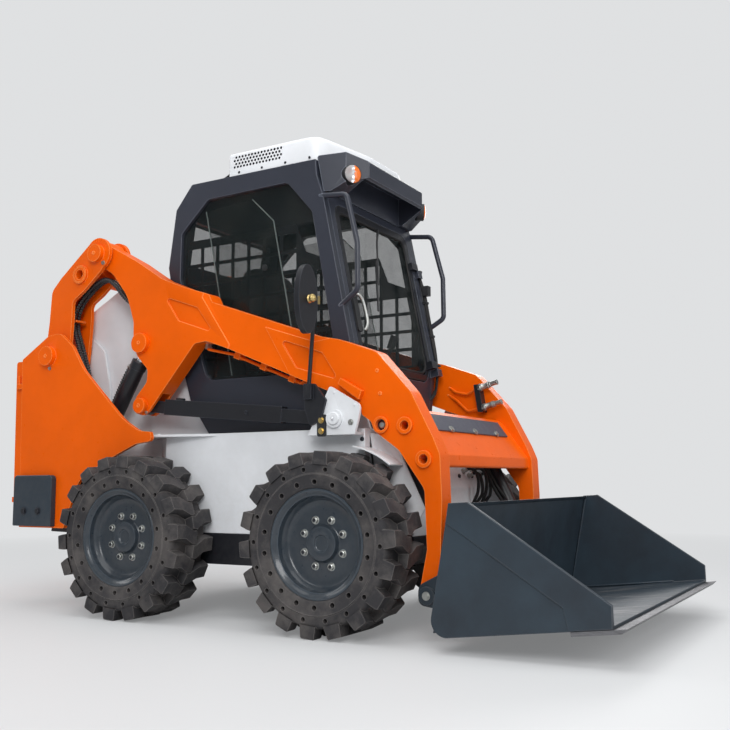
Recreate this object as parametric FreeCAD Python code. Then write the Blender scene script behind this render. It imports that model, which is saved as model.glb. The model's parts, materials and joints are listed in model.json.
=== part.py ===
import FreeCAD, Part
import math
import os

# Skid steer loader with a vertical-lift arm, a closed cab and a bucket.
# Millimetres. +X is forwards, +Y is the machine's left, +Z is up.
# Driving sizes are measured from the rear wheel's axis (x), the middle (y) and the ground (z).
# The finished pieces move by row_origin_x, so that the origin lies under the machine's middle.

V = FreeCAD.Vector

# Overall
wheelbase = 1100.0
tail_x = -930.0
bucket_tip_x = 2370.0
row_origin_x = (tail_x + bucket_tip_x) / 2

# Clearances
pin_gap = 0.1
seat_gap = 0.3

# Tyres
tyre_radius = 380.0
tyre_width = 250.0
track_half = 675.0
lug_root_radius = 338.0
lug_count = 18
lug_width = 74.0
lug_bend = 24.0
lug_overlap = 10.0
shoulder_radius = 325.0
bead_radius = 205.0

# Rims and axles
rim_lip_radius = 226.0
rim_lip_width = 12.0
rim_wall = 9.0
rim_half_width = 106.0
disc_outer_y = 44.0
disc_thickness = 12.0
hub_boss_radius = 72.0
hub_boss_height = 26.0
hub_cap_radius = 30.0
hub_cap_height = 12.0
wheel_bolt_circle = 203.2
wheel_bolt_count = 8
wheel_bolt_radius = 13.0
wheel_bolt_height = 14.0
axle_radius = 40.0
axle_flange_radius = 128.0
axle_tube_radius = 66.0
axle_tube_end = 668.0
axle_tube_foot = 14.0

# Lift linkage pivots (x, z)
tower_pivot = (-643.0, 1290.0)
link_boom_pivot = (-364.0, 1814.0)
bracket_pivot = (1088.0, 902.0)
leg_pivot = (-58.0, 1010.0)
lift_top_pivot = (-68.0, 1324.0)
lift_base_pivot = (-505.0, 600.0)
bucket_pivot = (1515.0, 178.0)
tilt_base_pivot = (1301.0, 869.0)
tilt_rod_pivot = (1545.0, 366.0)

# Stations across the machine, for its left side
boom_inner = 490.0
boom_outer = 580.0
boom_plate = 16.0
boom_mid = (boom_inner + boom_outer) / 2
link_plate = 20.0
link_gap = 12.0
link_inner = boom_inner - link_gap - link_plate
link_outer = boom_outer + link_gap + link_plate
tower_outer = 660.0
tower_plate = 20.0
tower_inner = 424.0
tower_inner_plate = 16.0
tilt_cylinder_y = 435.0

# Pins
main_pin_radius = 30.0
link_pin_radius = 26.0
bucket_pin_radius = 24.0
lift_pin_radius = 24.0
tilt_pin_radius = 22.0
main_head_radius = 50.0
link_head_radius = 46.0
leg_head_radius = 38.0
head_height = 28.0

# Cylinders
lift_barrel_radius = 38.0
lift_rod_radius = 20.0
lift_barrel_length = 746.0
tilt_barrel_radius = 34.0
tilt_rod_radius = 18.0
tilt_barrel_length = 452.0

# Chassis
belly_z = 252.0
hull_floor_z = 395.0
bay_floor_z = 405.0
deck_z = 862.0
chain_case_z = 500.0
chain_case_x = -330.0
hull_half = 530.0
nose_half = 385.0
hull_wall = 12.0
hull_rear_x = -812.0
hull_step_x = 60.0
hull_front_x = 1190.0

# Cab
cab_half = 450.0
cab_wall = 40.0
roof_z = 2150.0
glass_thickness = 6.0
cab_inner_half = cab_half - cab_wall
cab_floor_z = deck_z + cab_wall
cab_ceiling_z = roof_z - cab_wall
cab_rear_x = -100.0
cab_split_x = 500.0
cab_front_x = 1200.0

# The cab's front: straight from the knee upwards, leaning back
front_knee = (1068.0, 1264.0)
front_top = (925.0, 1962.0)
front_low = (1053.0, 1150.0)
doorway_half = 372.0
doorway_low = -114.0
doorway_high = 700.0
door_gap = 6.0
door_thickness = 28.0
door_rail = 30.0
door_hinge_y = 400.0
door_hinge_ahead = 14.0
door_pin_radius = 5.0
door_knuckle_radius = 9.0
door_hinge_length = 38.0
door_hinge_places = (-50.0, 500.0)
hinge_root = 36.0
hinge_leaf_root = 20.0
hinge_width = 47.0

# Bucket
bucket_half = 835.0
bucket_sheet = 12.0
bucket_side = 14.0
frame_plate = 14.0


# Making shapes

def corner_wire(points, place):
    """A closed wire from (a, b) or (a, b, corner radius) points; place turns a flat point into space."""
    count = len(points)
    corners = []
    for index in range(count):
        tip = V(points[index][0], points[index][1], 0)
        radius = points[index][2] if len(points[index]) > 2 else 0.0
        if radius <= 0.0:
            corners.append((tip, None, tip))
            continue
        after = points[(index + 1) % count]
        back = (V(points[index - 1][0], points[index - 1][1], 0) - tip).normalize()
        forth = (V(after[0], after[1], 0) - tip).normalize()
        half = back.getAngle(forth) / 2
        reach = radius / math.tan(half)
        crown = tip + (back + forth).normalize() * (radius / math.sin(half) - radius)
        corners.append((tip + back * reach, crown, tip + forth * reach))
    edges = []
    for index in range(count):
        start, crown, end = corners[index]
        if crown is not None:
            edges.append(Part.Arc(place(start), place(crown), place(end)).toShape())
        following = corners[(index + 1) % count][0]
        if (end - following).Length > 1e-6:
            edges.append(Part.makeLine(place(end), place(following)))
    return Part.Wire(edges)


def inset(points, distance):
    """The outline moved inwards by a distance, its corner radii kept concentric."""
    count = len(points)
    area = 0.0
    for index in range(count):
        here = points[index]
        after = points[(index + 1) % count]
        area += here[0] * after[1] - after[0] * here[1]
    turn = 1.0 if area > 0 else -1.0
    moved = []
    for index in range(count):
        before = points[index - 1]
        here = points[index]
        after = points[(index + 1) % count]
        arrive = V(here[0] - before[0], here[1] - before[1], 0).normalize()
        leave = V(after[0] - here[0], after[1] - here[1], 0).normalize()
        first = V(-arrive.y, arrive.x, 0) * turn
        second = V(-leave.y, leave.x, 0) * turn
        shift = (first + second) * (distance / (1 + first.dot(second)))
        corner = (here[0] + shift.x, here[1] + shift.y)
        if len(here) > 2:
            convex = arrive.cross(leave).z * turn > 0
            corner += (max(here[2] - distance if convex else here[2] + distance, 0.0),)
        moved.append(corner)
    return moved


def slab(points, y_low, y_high):
    """A plate with an outline of (x, z) points, between two stations across the machine."""
    wire = corner_wire(points, lambda p: V(p.x, y_low, p.y))
    return Part.Face(wire).extrude(V(0, y_high - y_low, 0))


def deck(points, z_low, z_high):
    """A plate with an outline of (x, y) points, between two heights."""
    wire = corner_wire(points, lambda p: V(p.x, p.y, z_low))
    return Part.Face(wire).extrude(V(0, 0, z_high - z_low))


def panel(points, x_low, x_high):
    """A plate with an outline of (y, z) points, between two stations along the machine."""
    wire = corner_wire(points, lambda p: V(x_low, p.x, p.y))
    return Part.Face(wire).extrude(V(x_high - x_low, 0, 0))


def block(x_low, x_high, y_low, y_high, z_low, z_high):
    return Part.makeBox(x_high - x_low, y_high - y_low, z_high - z_low, V(x_low, y_low, z_low))


def disc(pivot, radius, y_low, y_high):
    """A round bar across the machine at an (x, z) pivot."""
    return Part.makeCylinder(radius, y_high - y_low, V(pivot[0], y_low, pivot[1]), V(0, 1, 0))


def bar(start, end, radius):
    """A round bar from one point to another."""
    return Part.makeCylinder(radius, (end - start).Length, start, end - start)


def turned(profile):
    """A body of revolution about the wheel's axis from (radius, y) points."""
    points = [V(0, y, radius) for radius, y in profile]
    return Part.Face(Part.makePolygon(points + points[:1])).revolve(V(0, 0, 0), V(0, 1, 0), 360)


def tube(points, radius, bend):
    """A bent round bar through points, with one bend radius."""
    edges = []
    last = points[0]
    for index in range(1, len(points) - 1):
        tip = points[index]
        back = (points[index - 1] - tip).normalize()
        forth = (points[index + 1] - tip).normalize()
        half = back.getAngle(forth) / 2
        reach = bend / math.tan(half)
        crown = tip + (back + forth).normalize() * (bend / math.sin(half) - bend)
        edges.append(Part.makeLine(last, tip + back * reach))
        edges.append(Part.Arc(tip + back * reach, crown, tip + forth * reach).toShape())
        last = tip + forth * reach
    edges.append(Part.makeLine(last, points[-1]))
    section = Part.Wire([Part.makeCircle(radius, points[0], points[1] - points[0])])
    return Part.Wire(edges).makePipeShell([section], True, False)


def mirrored(shape):
    return shape.mirror(V(0, 0, 0), V(0, 1, 0))


def both_sides(shape):
    return Part.makeCompound([shape, mirrored(shape)])


def joined(shapes):
    return shapes[0].fuse(shapes[1:]).removeSplitter()


def along(start, end, distance):
    """The (x, z) point at a distance from start towards end."""
    share = distance / math.hypot(end[0] - start[0], end[1] - start[1])
    return (start[0] + (end[0] - start[0]) * share, start[1] + (end[1] - start[1]) * share)


def beside(start, end, distance):
    """The (x, z) step of a distance to the left of the way from start to end."""
    length = math.hypot(end[0] - start[0], end[1] - start[1])
    return (-(end[1] - start[1]) / length * distance, (end[0] - start[0]) / length * distance)


def strip(start, end, left, right):
    """The (x, z) outline of a straight bar between two points, by its reach to each side."""
    up = beside(start, end, left)
    down = beside(start, end, -right)
    return [
        (start[0] + up[0], start[1] + up[1]), (end[0] + up[0], end[1] + up[1]),
        (end[0] + down[0], end[1] + down[1]), (start[0] + down[0], start[1] + down[1])]


# Wheels, made about their own centre with the outer face towards +Y

def tyre():
    half = tyre_width / 2
    bead_y = rim_half_width - rim_lip_width - seat_gap
    bead_top = rim_lip_radius + seat_gap
    body = turned([
        (bead_radius, -bead_y), (bead_top, -bead_y), (bead_top, -half + 16), (shoulder_radius, -half + 4),
        (lug_root_radius, -half + 30), (lug_root_radius, half - 30), (shoulder_radius, half - 4),
        (bead_top, half - 16), (bead_top, bead_y), (bead_radius, bead_y)])
    crown = tyre_radius * math.cos(math.asin(lug_width / 2 / tyre_radius))
    foot = shoulder_radius - 20
    lugs = []
    for side in (1, -1):
        outline = [
            (-lug_width / 2, side * half), (lug_width / 2, side * half),
            (lug_width / 2, side * half * 0.45), (lug_width / 2 + lug_bend, -side * lug_overlap),
            (-lug_width / 2 + lug_bend, -side * lug_overlap), (-lug_width / 2, side * half * 0.45)]
        shoulder = panel([
            (side * (half + 1), foot - 1), (side * (half + 1), crown + 1), (side * (half - 14), crown + 1),
            (side * (half - 1), crown - 26), (side * (half - 1), foot - 1)], -lug_width, lug_width)
        lug = deck(outline, foot, crown).cut(shoulder)
        for index in range(lug_count):
            copy = lug.copy()
            copy.rotate(V(0, 0, 0), V(0, 1, 0), 360.0 / lug_count * (index + 0.25 * side))
            lugs.append(copy)
    return body.fuse(lugs).removeSplitter()


def rim():
    edge = rim_half_width
    inner = bead_radius - rim_wall
    disc_inner_y = disc_outer_y - disc_thickness
    cap_y = disc_outer_y + hub_boss_height + hub_cap_height
    body = turned([
        (rim_lip_radius, edge - rim_lip_width), (rim_lip_radius, edge), (inner + 6, edge), (inner, edge - 16),
        (inner, disc_outer_y), (hub_boss_radius, disc_outer_y),
        (hub_boss_radius - 4, disc_outer_y + hub_boss_height), (hub_cap_radius, disc_outer_y + hub_boss_height),
        (hub_cap_radius, cap_y), (0, cap_y), (0, disc_inner_y), (inner, disc_inner_y), (inner, -edge),
        (rim_lip_radius, -edge), (rim_lip_radius, -edge + rim_lip_width),
        (bead_radius - seat_gap, -edge + rim_lip_width), (bead_radius - seat_gap, edge - rim_lip_width)])
    pieces = [body]
    for index in range(wheel_bolt_count):
        angle = 2 * math.pi * (index + 0.5) / wheel_bolt_count
        centre = (wheel_bolt_circle / 2 * math.cos(angle), wheel_bolt_circle / 2 * math.sin(angle))
        pieces.append(disc(centre, wheel_bolt_radius, disc_outer_y - 1, disc_outer_y + wheel_bolt_height))
    pieces.append(disc((0, 0), axle_flange_radius, axle_tube_end - track_half + 2, disc_inner_y + 1))
    pieces.append(disc((0, 0), axle_radius, hull_half - track_half + 6, disc_inner_y))
    return joined(pieces)


def axle_tube(axle_x):
    hub = (axle_x, tyre_radius)
    body = disc(hub, axle_tube_radius, hull_half, axle_tube_end)
    foot = disc(hub, axle_tube_radius + 24, hull_half, hull_half + axle_tube_foot)
    return body.fuse(foot).cut(disc(hub, axle_radius + pin_gap, hull_half - 1, axle_tube_end + 1))


# Lift arm

boom_outline = [
    (-302, 1850, 20), (-118, 1750, 300), (53, 1640, 200), (203, 1580, 150), (350, 1532, 30),
    (372, 1490, 10), (977, 1276, 60), (1088, 1252, 60), (1277, 1184, 60), (1440, 1003, 120),
    (1543, 805, 120), (1570, 740, 60), (1576, 557, 100), (1562, 230, 60), (1566, 150, 20),
    (1500, 128, 30), (1468, 180, 40), (1506, 357, 60), (1498, 600, 60), (1381, 762, 60),
    (1262, 847, 30), (1250, 885, 30), (1205, 915, 20), (1190, 970, 20), (1019, 1033, 30),
    (465, 1260, 100), (345, 1303, 60), (270, 1297, 40), (161, 1175, 60), (-12, 982, 20),
    (-49, 962, 20), (-104, 975, 20), (-104, 1052, 20), (-33, 1125, 40), (-28, 1190, 40),
    (-100, 1262, 40), (-128, 1324, 40), (-131, 1440, 80), (-178, 1576, 200), (-283, 1703, 120),
    (-350, 1745, 20), (-420, 1780, 30), (-400, 1870, 30)]

# Between the arm's two plates the rear leg is open for the lift rod and the control link.
leg_pocket = [
    (-460, 900), (200, 900), (60, 1070), (146, 1184, 40), (190, 1235, 30), (120, 1395, 60),
    (-60, 1470, 60), (-200, 1470)]

# Pressed recesses in the outer plate
recess_table = [
    [(74, 1547, 12), (284, 1473, 12), (387, 1340, 12), (165, 1418, 12)],
    [(773, 1278, 12), (1001, 1200, 12), (1088, 1073, 12), (862, 1141, 12)]]
recess_depth = 9.0

# Lap of the outer plate's middle part: it lies this much lower
lap_depth = 5.0
lap_outline = [
    (330, 1580), (313, 1519), (481, 1277), (465, 1230), (820, 1080), (826, 1116), (690, 1341),
    (962, 1251), (1050, 1262), (1050, 1330)]

# Place, collar radius, bore radius and collar height of the bushes in the front leg
bush_table = [
    (tilt_base_pivot, 36.0, 24.0, 14.0),
    ((1414.0, 863.0), 36.0, 19.5, 14.0),
    ((1500.0, 722.0), 36.0, 19.5, 14.0)]

stop_outline = [(1097, 1052, 4), (1112, 1078, 4), (1218, 1018, 4), (1203, 978, 4)]
stop_height = 26.0


fitting_heads = ((lift_top_pivot, main_head_radius), (leg_pivot, leg_head_radius))
washer_height = 12.0
washer_step = 6.0
blind_bush_depth = 20.0


def boom():
    inside_low = boom_inner + boom_plate
    inside_high = boom_outer - boom_plate
    body = slab(boom_outline, boom_inner, boom_outer)
    body = body.cut(slab(leg_pocket, inside_low, inside_high))
    body = joined([body, disc(link_boom_pivot, 72, boom_inner, boom_outer)])
    for outline in recess_table:
        body = body.cut(slab(outline, boom_outer - recess_depth, boom_outer + 1))
    body = body.cut(slab(lap_outline, boom_outer - lap_depth, boom_outer + 1))
    for place, collar, bore, height in bush_table[1:]:
        body = body.cut(disc(place, bore, boom_inner - 1, boom_outer + 1))
    place, collar, bore, height = bush_table[0]
    body = body.cut(disc(place, bore, boom_outer - blind_bush_depth, boom_outer + 1))
    for pivot, radius in ((link_boom_pivot, link_pin_radius), (bucket_pivot, bucket_pin_radius)):
        body = body.cut(disc(pivot, radius + pin_gap, boom_inner - 1, boom_outer + 1))
    return body


def boom_fittings():
    """Pin heads, washers, bush collars and the stop on the arm's faces, and the pins of the tilt cylinders."""
    fittings = [slab(stop_outline, boom_outer, boom_outer + stop_height)]
    for pivot, radius in fitting_heads:
        fittings.append(disc(pivot, radius, boom_outer, boom_outer + head_height))
        fittings.append(disc(pivot, radius - washer_step, boom_inner - washer_height, boom_inner))
    for place, collar, bore, height in bush_table:
        ring = disc(place, collar, boom_outer, boom_outer + height)
        fittings.append(ring.cut(disc(place, bore, boom_outer - 1, boom_outer + height + 1)))
    fittings.append(disc(tilt_base_pivot, tilt_pin_radius, beam_ear_low, boom_inner))
    return both_sides(Part.makeCompound(fittings))


beam_outline = [
    (1372, 925, 10), (1385, 944, 10), (1417, 926, 10), (1552, 742, 12), (1554, 690, 12), (1520, 690, 10),
    (1404, 860, 10)]
beam_ear_outline = [
    (1268, 838, 20), (1262, 900, 30), (1330, 936, 20), (1392, 936), (1398, 872), (1330, 836, 20)]
beam_ear_low = 384.0
beam_ear_high = 396.0
beam_plate_half = 400.0
beam_plate_width = 90.0
beam_plate_thickness = 8.0


def crossbeam():
    ear = slab(beam_ear_outline, beam_ear_low, beam_ear_high)
    ear = ear.cut(disc(tilt_base_pivot, tilt_pin_radius + pin_gap, beam_ear_low - 1, beam_ear_high + 1))
    return joined([slab(beam_outline, -boom_inner, boom_inner), ear, mirrored(ear)])


def beam_plate():
    face_start = beam_outline[2]
    face_end = beam_outline[3]
    start = along(face_start, face_end, 8)
    end = along(face_start, face_end, 8 + beam_plate_width)
    return slab(strip(start, end, beam_plate_thickness, 0), -beam_plate_half, beam_plate_half)


coupler_outline = [(1284, 1128, 6), (1312, 1128, 6), (1336, 985, 6), (1306, 985, 6)]
coupler_reach = 56.0
coupler_places = [(1300.0, 1108.0), (1322.0, 1006.0)]


def quick_couplers():
    y_low = boom_inner - coupler_reach
    body = slab(coupler_outline, y_low, boom_inner)
    couplers = []
    for x, z in coupler_places:
        start = V(x, y_low + 16, z)
        neck = start + V(70, 0, 18)
        tip = neck + V(42, 0, 11)
        couplers.append(bar(start, neck, 15))
        couplers.append(bar(start, tip, 12))
    return joined([body] + couplers)


# Rear link

link_outline = [
    (-424, 1872, 20), (-629, 1713, 60), (-694, 1650, 60), (-706, 1479, 100), (-731, 1290), (-555, 1290),
    (-546, 1375, 40), (-538, 1500, 60), (-540, 1580, 40), (-459, 1628, 60), (-334, 1727, 40), (-281, 1800)]
link_web = [
    (-480, 1828.5), (-629, 1713, 60), (-694, 1650, 60), (-706, 1479, 100), (-716, 1404), (-700, 1404),
    (-690, 1479, 100), (-678, 1642, 46), (-620, 1700, 46), (-472, 1814)]
cross_tube_place = (-480.0, 1716.0)
cross_tube_radius = 40.0
cross_tube_bore = 25.0
cross_tube_end = link_outer + 14.0


def rear_link():
    plates = []
    for low in (link_inner, link_outer - link_plate):
        plates.append(slab(link_outline, low, low + link_plate))
        plates.append(disc(tower_pivot, 88, low, low + link_plate))
        plates.append(disc(link_boom_pivot, 84, low, low + link_plate))
    web = slab(link_web, link_inner + 1, link_outer - 1)
    bush = disc(tower_pivot, 58, link_inner - 10, link_outer + 20)
    collar = disc(cross_tube_place, cross_tube_radius + 8, link_outer - 1, cross_tube_end)
    body = joined(plates + [web, bush, collar])
    for pivot, radius in ((tower_pivot, main_pin_radius), (cross_tube_place, cross_tube_radius)):
        body = body.cut(disc(pivot, radius + pin_gap, link_inner - 12, link_outer + 22))
    pin = disc(link_boom_pivot, link_pin_radius, link_inner, link_outer)
    head = disc(link_boom_pivot, link_head_radius, link_outer - 1, link_outer + head_height)
    return joined([body, pin, head])


def link_cross_tube():
    tube_body = disc(cross_tube_place, cross_tube_radius, -cross_tube_end, cross_tube_end)
    return tube_body.cut(disc(cross_tube_place, cross_tube_bore, -cross_tube_end - 1, cross_tube_end + 1))


# Control link

control_bar_half = 20.0
control_box_half = 24.0
control_eye_half = 52.0
control_box_start = 128.0
control_box_end = 830.0


def control_link():
    low = boom_mid - control_bar_half
    high = boom_mid + control_bar_half
    body = slab(strip(leg_pivot, bracket_pivot, 30, 30), low, high)
    start = along(leg_pivot, bracket_pivot, control_box_start)
    end = along(leg_pivot, bracket_pivot, control_box_end)
    box = slab(strip(start, end, 40, 36), boom_mid - control_box_half, boom_mid + control_box_half)
    eyes = [
        disc(leg_pivot, 42, low, high),
        disc(bracket_pivot, 35, boom_mid - control_eye_half, boom_mid + control_eye_half)]
    body = joined([body, box] + eyes)
    for pivot in (leg_pivot, bracket_pivot):
        body = body.cut(disc(pivot, link_pin_radius + pin_gap, boom_mid - 60, boom_mid + 60))
    return body


# Bracket on the chassis that carries the control link

bracket_outline = [(1062, 1045, 10), (1216, 957, 30), (1206, 900, 30), (1186, 832), (948, 832)]
bracket_inner_outline = [(1030, 985, 30), (1140, 985, 30), (1186, deck_z), (985, deck_z)]
bracket_outer_low = 598.0
bracket_outer_high = 612.0
bracket_inner_low = 462.0
bracket_inner_high = 476.0
bracket_floor = 12.0


def link_bracket():
    outer = slab(bracket_outline, bracket_outer_low, bracket_outer_high)
    inner = slab(bracket_inner_outline, bracket_inner_low, bracket_inner_high)
    foot = block(948, 1186, hull_half, bracket_outer_low + 1, 832, 832 + bracket_floor)
    pin = disc(bracket_pivot, link_pin_radius, bracket_inner_low, bracket_outer_high)
    head = disc(bracket_pivot, 40, bracket_outer_high - 1, bracket_outer_high + 10)
    return joined([outer, inner, foot, pin, head])


# Towers at the rear, which carry the rear link and the lift cylinder

tower_outline = [
    (-826, 405), (-848, 1286, 8), (-655, 1398, 60), (-570, 1408, 70), (-475, 1332, 90), (-388, 1203, 300),
    (-107, 940, 400), (0, 880, 120), (72, 875, 14), (86, 830, 20), (-20, 818, 60), (-138, 771, 40),
    (-400, 655, 180), (-497, 405)]
tower_inner_outline = [
    (-826, 405), (-848, 1286, 8), (-655, 1398, 60), (-570, 1408, 70), (-475, 1332, 60), (-430, 1150, 60),
    (-400, 700, 60), (-497, 405)]
tower_back = [(-826, 405), (-848, 1286), (-834, 1286), (-812, 405)]


def tower():
    outer = slab(tower_outline, tower_outer - tower_plate, tower_outer)
    inner = slab(tower_inner_outline, tower_inner, tower_inner + tower_inner_plate)
    back = slab(tower_back, tower_inner + 1, tower_outer - 1)
    floor = block(-825, -505, tower_inner + 1, tower_outer - 1, 405, 419)
    pin = disc(tower_pivot, main_pin_radius, tower_inner, tower_outer)
    head = disc(tower_pivot, main_head_radius, tower_outer - 1, tower_outer + head_height)
    base_pin = disc(lift_base_pivot, lift_pin_radius, tower_inner + 1, tower_outer - 1)
    arms = []
    for z in tail_hinge_heights:
        arms.append(block(tail_hinge_x - 10, -829, tail_hinge_y - 6, tail_hinge_y + 10, z - 48, z - 20 - seat_gap))
        arms.append(bar(V(tail_hinge_x, tail_hinge_y, z - 48), V(tail_hinge_x, tail_hinge_y, z + 24), 6))
    return joined([outer, inner, back, floor, pin, head, base_pin] + arms)


weight_outline = [(-838, 413, 6), (-838, 672, 22), (-556, 672, 22), (-556, 413, 6)]
weight_thickness = 34.0


def counterweight():
    return slab(weight_outline, tower_outer, tower_outer + weight_thickness)


# Tail door between and behind the towers, hinged at its left edge

tail_door_half = 628.0
tail_door_outline = [(-912, 420, 10), (tail_x, 1282, 16), (-866, 1282), (-852, 420)]
tail_door_sheet = 14.0
tail_hinge_x = -890.0
tail_hinge_y = 640.0
tail_hinge_heights = (580.0, 1180.0)
tail_slot_rows = 14
tail_slot_columns = 4


def tail_door():
    body = slab(tail_door_outline, -tail_door_half, tail_door_half)
    hollow = inset(tail_door_outline, tail_door_sheet)
    inner_edge = tail_door_half - tail_door_sheet
    body = body.cut(slab(hollow, -inner_edge, inner_edge))
    body = body.cut(block(-880, -840, -inner_edge + 60, inner_edge - 60, 500, 1200))
    slots = []
    for row in range(tail_slot_rows):
        for column in range(tail_slot_columns):
            low = -400 + column * 205
            slots.append(block(tail_x - 1, tail_x + 40, low, low + 185, 640 + row * 36, 658 + row * 36))
    body = body.cut(slots)
    for z in tail_hinge_heights:
        lug = block(tail_hinge_x - 12, tail_hinge_x + 12, tail_door_half - 6, tail_hinge_y + 10, z - 20, z + 20)
        body = body.fuse(lug)
        hole_start = V(tail_hinge_x, tail_hinge_y, z - 21)
        body = body.cut(bar(hole_start, hole_start + V(0, 0, 42), 6 + pin_gap))
    return body.removeSplitter()


# Cylinders

def cylinder_barrel(base, tip, y_mid, radius, eye_radius, eye_half, pin, length, rod):
    """A barrel with its base eye, a gland at its mouth and a bore for the rod."""
    bottom = along(base, tip, eye_radius - 6)
    mouth = along(base, tip, length)
    gland = along(base, tip, length - 40)
    bore = along(base, tip, eye_radius + 16)
    beyond = along(base, tip, length + 1)
    mouth_point = V(mouth[0], y_mid, mouth[1])
    body = joined([
        bar(V(bottom[0], y_mid, bottom[1]), mouth_point, radius),
        bar(V(gland[0], y_mid, gland[1]), mouth_point, radius + 4),
        disc(base, eye_radius, y_mid - eye_half, y_mid + eye_half)])
    body = body.cut(disc(base, pin + pin_gap, y_mid - radius - 5, y_mid + radius + 5))
    return body.cut(bar(V(bore[0], y_mid, bore[1]), V(beyond[0], y_mid, beyond[1]), rod + pin_gap))


def cylinder_rod(base, tip, y_mid, radius, eye_radius, eye_half, pin, inside):
    """A rod from inside the barrel to its eye."""
    length = math.hypot(tip[0] - base[0], tip[1] - base[1])
    start = along(base, tip, inside)
    end = along(base, tip, length - eye_radius + 6)
    body = joined([
        bar(V(start[0], y_mid, start[1]), V(end[0], y_mid, end[1]), radius),
        disc(tip, eye_radius, y_mid - eye_half, y_mid + eye_half)])
    return body.cut(disc(tip, pin + pin_gap, y_mid - eye_half - 1, y_mid + eye_half + 1))


def lift_barrel():
    return cylinder_barrel(lift_base_pivot, lift_top_pivot, boom_mid, lift_barrel_radius, 44, 26,
                           lift_pin_radius, lift_barrel_length, lift_rod_radius)


def lift_rod():
    return cylinder_rod(lift_base_pivot, lift_top_pivot, boom_mid, lift_rod_radius, 40, 22,
                        lift_pin_radius, 80)


def tilt_barrel():
    return cylinder_barrel(tilt_base_pivot, tilt_rod_pivot, tilt_cylinder_y, tilt_barrel_radius, 42, 24,
                           tilt_pin_radius, tilt_barrel_length, tilt_rod_radius)


def tilt_rod():
    return cylinder_rod(tilt_base_pivot, tilt_rod_pivot, tilt_cylinder_y, tilt_rod_radius, 36, 20,
                        tilt_pin_radius, 108)


# Bucket and the frame that holds it on the arm

bucket_outline = [(1801, 557), (1722, 547), (1629, 52, 60), (2322, 137), (2321, 216)]
bucket_rear_top = (1722.0, 547.0)
bucket_rear_low = (1629.0, 52.0)
bucket_lip = (2322.0, 137.0)
edge_width = 150.0
edge_thickness = 16.0


def bucket():
    hollow = inset(bucket_outline, bucket_sheet)
    hollow = hollow[1:4] + [(2500, hollow[3][1] + 22), (2500, 700), (1850, 700), (1739.5, 537)]
    body = slab(bucket_outline, -bucket_half, bucket_half)
    return body.cut(slab(hollow, -bucket_half + bucket_side, bucket_half - bucket_side))


def cutting_edge():
    start = along(bucket_lip, bucket_rear_low, edge_width)
    slope = math.atan2(bucket_lip[1] - bucket_rear_low[1], bucket_lip[0] - bucket_rear_low[0])
    reach = (bucket_tip_x - start[0]) / math.cos(slope)
    end = along(start, bucket_lip, reach)
    outline = strip(start, end, 0, edge_thickness)
    bevel = along(start, bucket_lip, reach - 22)
    down = beside(start, end, -edge_thickness)
    outline[2] = (bevel[0] + down[0], bevel[1] + down[1])
    return slab(outline, -bucket_half, bucket_half)


# Station pairs of the frame's ears, from inside out
tilt_ear_stations = ((398.0, 410.0), (460.0, 472.0))
hinge_ear_stations = ((470.0, 484.0), (586.0, 600.0))
hinge_ear = [
    (1650, 152), (1560, 128, 30), (1474, 140, 30), (1474, 216, 40), (1560, 260, 60), (1684, 380)]
tilt_ear = [
    (1655, 200), (1600, 240, 40), (1506, 330, 30), (1512, 404, 30), (1580, 410, 30), (1694, 430)]


def attachment_frame():
    low = along(bucket_rear_low, bucket_rear_top, 100)
    high = along(bucket_rear_low, bucket_rear_top, 395)
    pieces = [slab(strip(low, high, frame_plate, 0), -610, 610)]
    ahead_of_back = slab(strip(bucket_rear_low, bucket_rear_top, 0, 400), -620, 620)
    for y_low, y_high in hinge_ear_stations:
        pieces.append(both_sides(slab(hinge_ear, y_low, y_high)))
    for y_low, y_high in tilt_ear_stations:
        pieces.append(both_sides(slab(tilt_ear, y_low, y_high)))
    pieces.append(both_sides(disc(bucket_pivot, bucket_pin_radius, 471, 599)))
    pieces.append(both_sides(disc(bucket_pivot, 36, 599, 611)))
    pieces.append(both_sides(disc(tilt_rod_pivot, 30, 471, 480)))
    pieces.append(both_sides(disc(tilt_rod_pivot, 30, 390, 399)))
    solids = []
    for piece in pieces:
        solids.extend(piece.Solids)
    return joined(solids).cut(ahead_of_back)


# Chassis

belly_outline = [
    (-330, hull_floor_z), (-330, 300, 30), (-280, belly_z, 30), (1230, belly_z, 30), (1345, 340, 40),
    (1345, hull_floor_z)]
tail_frame_outline = [(-826, 405), (-835, 372), (-712, 369), (-585, 321), (-480, 321), (-480, 405)]
tail_frame_half = 440.0


def underframe():
    """The belly pan and the black frame under the tail."""
    pan_inside = inset(belly_outline, hull_wall)
    pan_inside[0] = (pan_inside[0][0], hull_floor_z + 10)
    pan_inside[-1] = (pan_inside[-1][0], hull_floor_z + 10)
    inner_half = hull_half - hull_wall
    nose_pan = block(hull_front_x, 1400, nose_half, hull_half + 1, belly_z - 1, hull_floor_z + 1)
    pan = slab(belly_outline, -hull_half, hull_half).cut([nose_pan, mirrored(nose_pan)])
    pan = pan.cut(slab(pan_inside, -nose_half + hull_wall, nose_half - hull_wall))
    pan = pan.cut(block(-318, hull_front_x - hull_wall, -inner_half, inner_half, belly_z + hull_wall, 500))
    inner_half = tail_frame_half - hull_wall
    tail = slab(tail_frame_outline, -tail_frame_half, tail_frame_half)
    return Part.makeCompound([pan, tail.cut(slab(inset(tail_frame_outline, hull_wall), -inner_half, inner_half))])


nose_outline = [
    (hull_front_x - 1, hull_floor_z), (hull_front_x - 1, 838, 20), (1262, 790, 30), (1345, 600, 30),
    (1345, hull_floor_z)]


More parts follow.
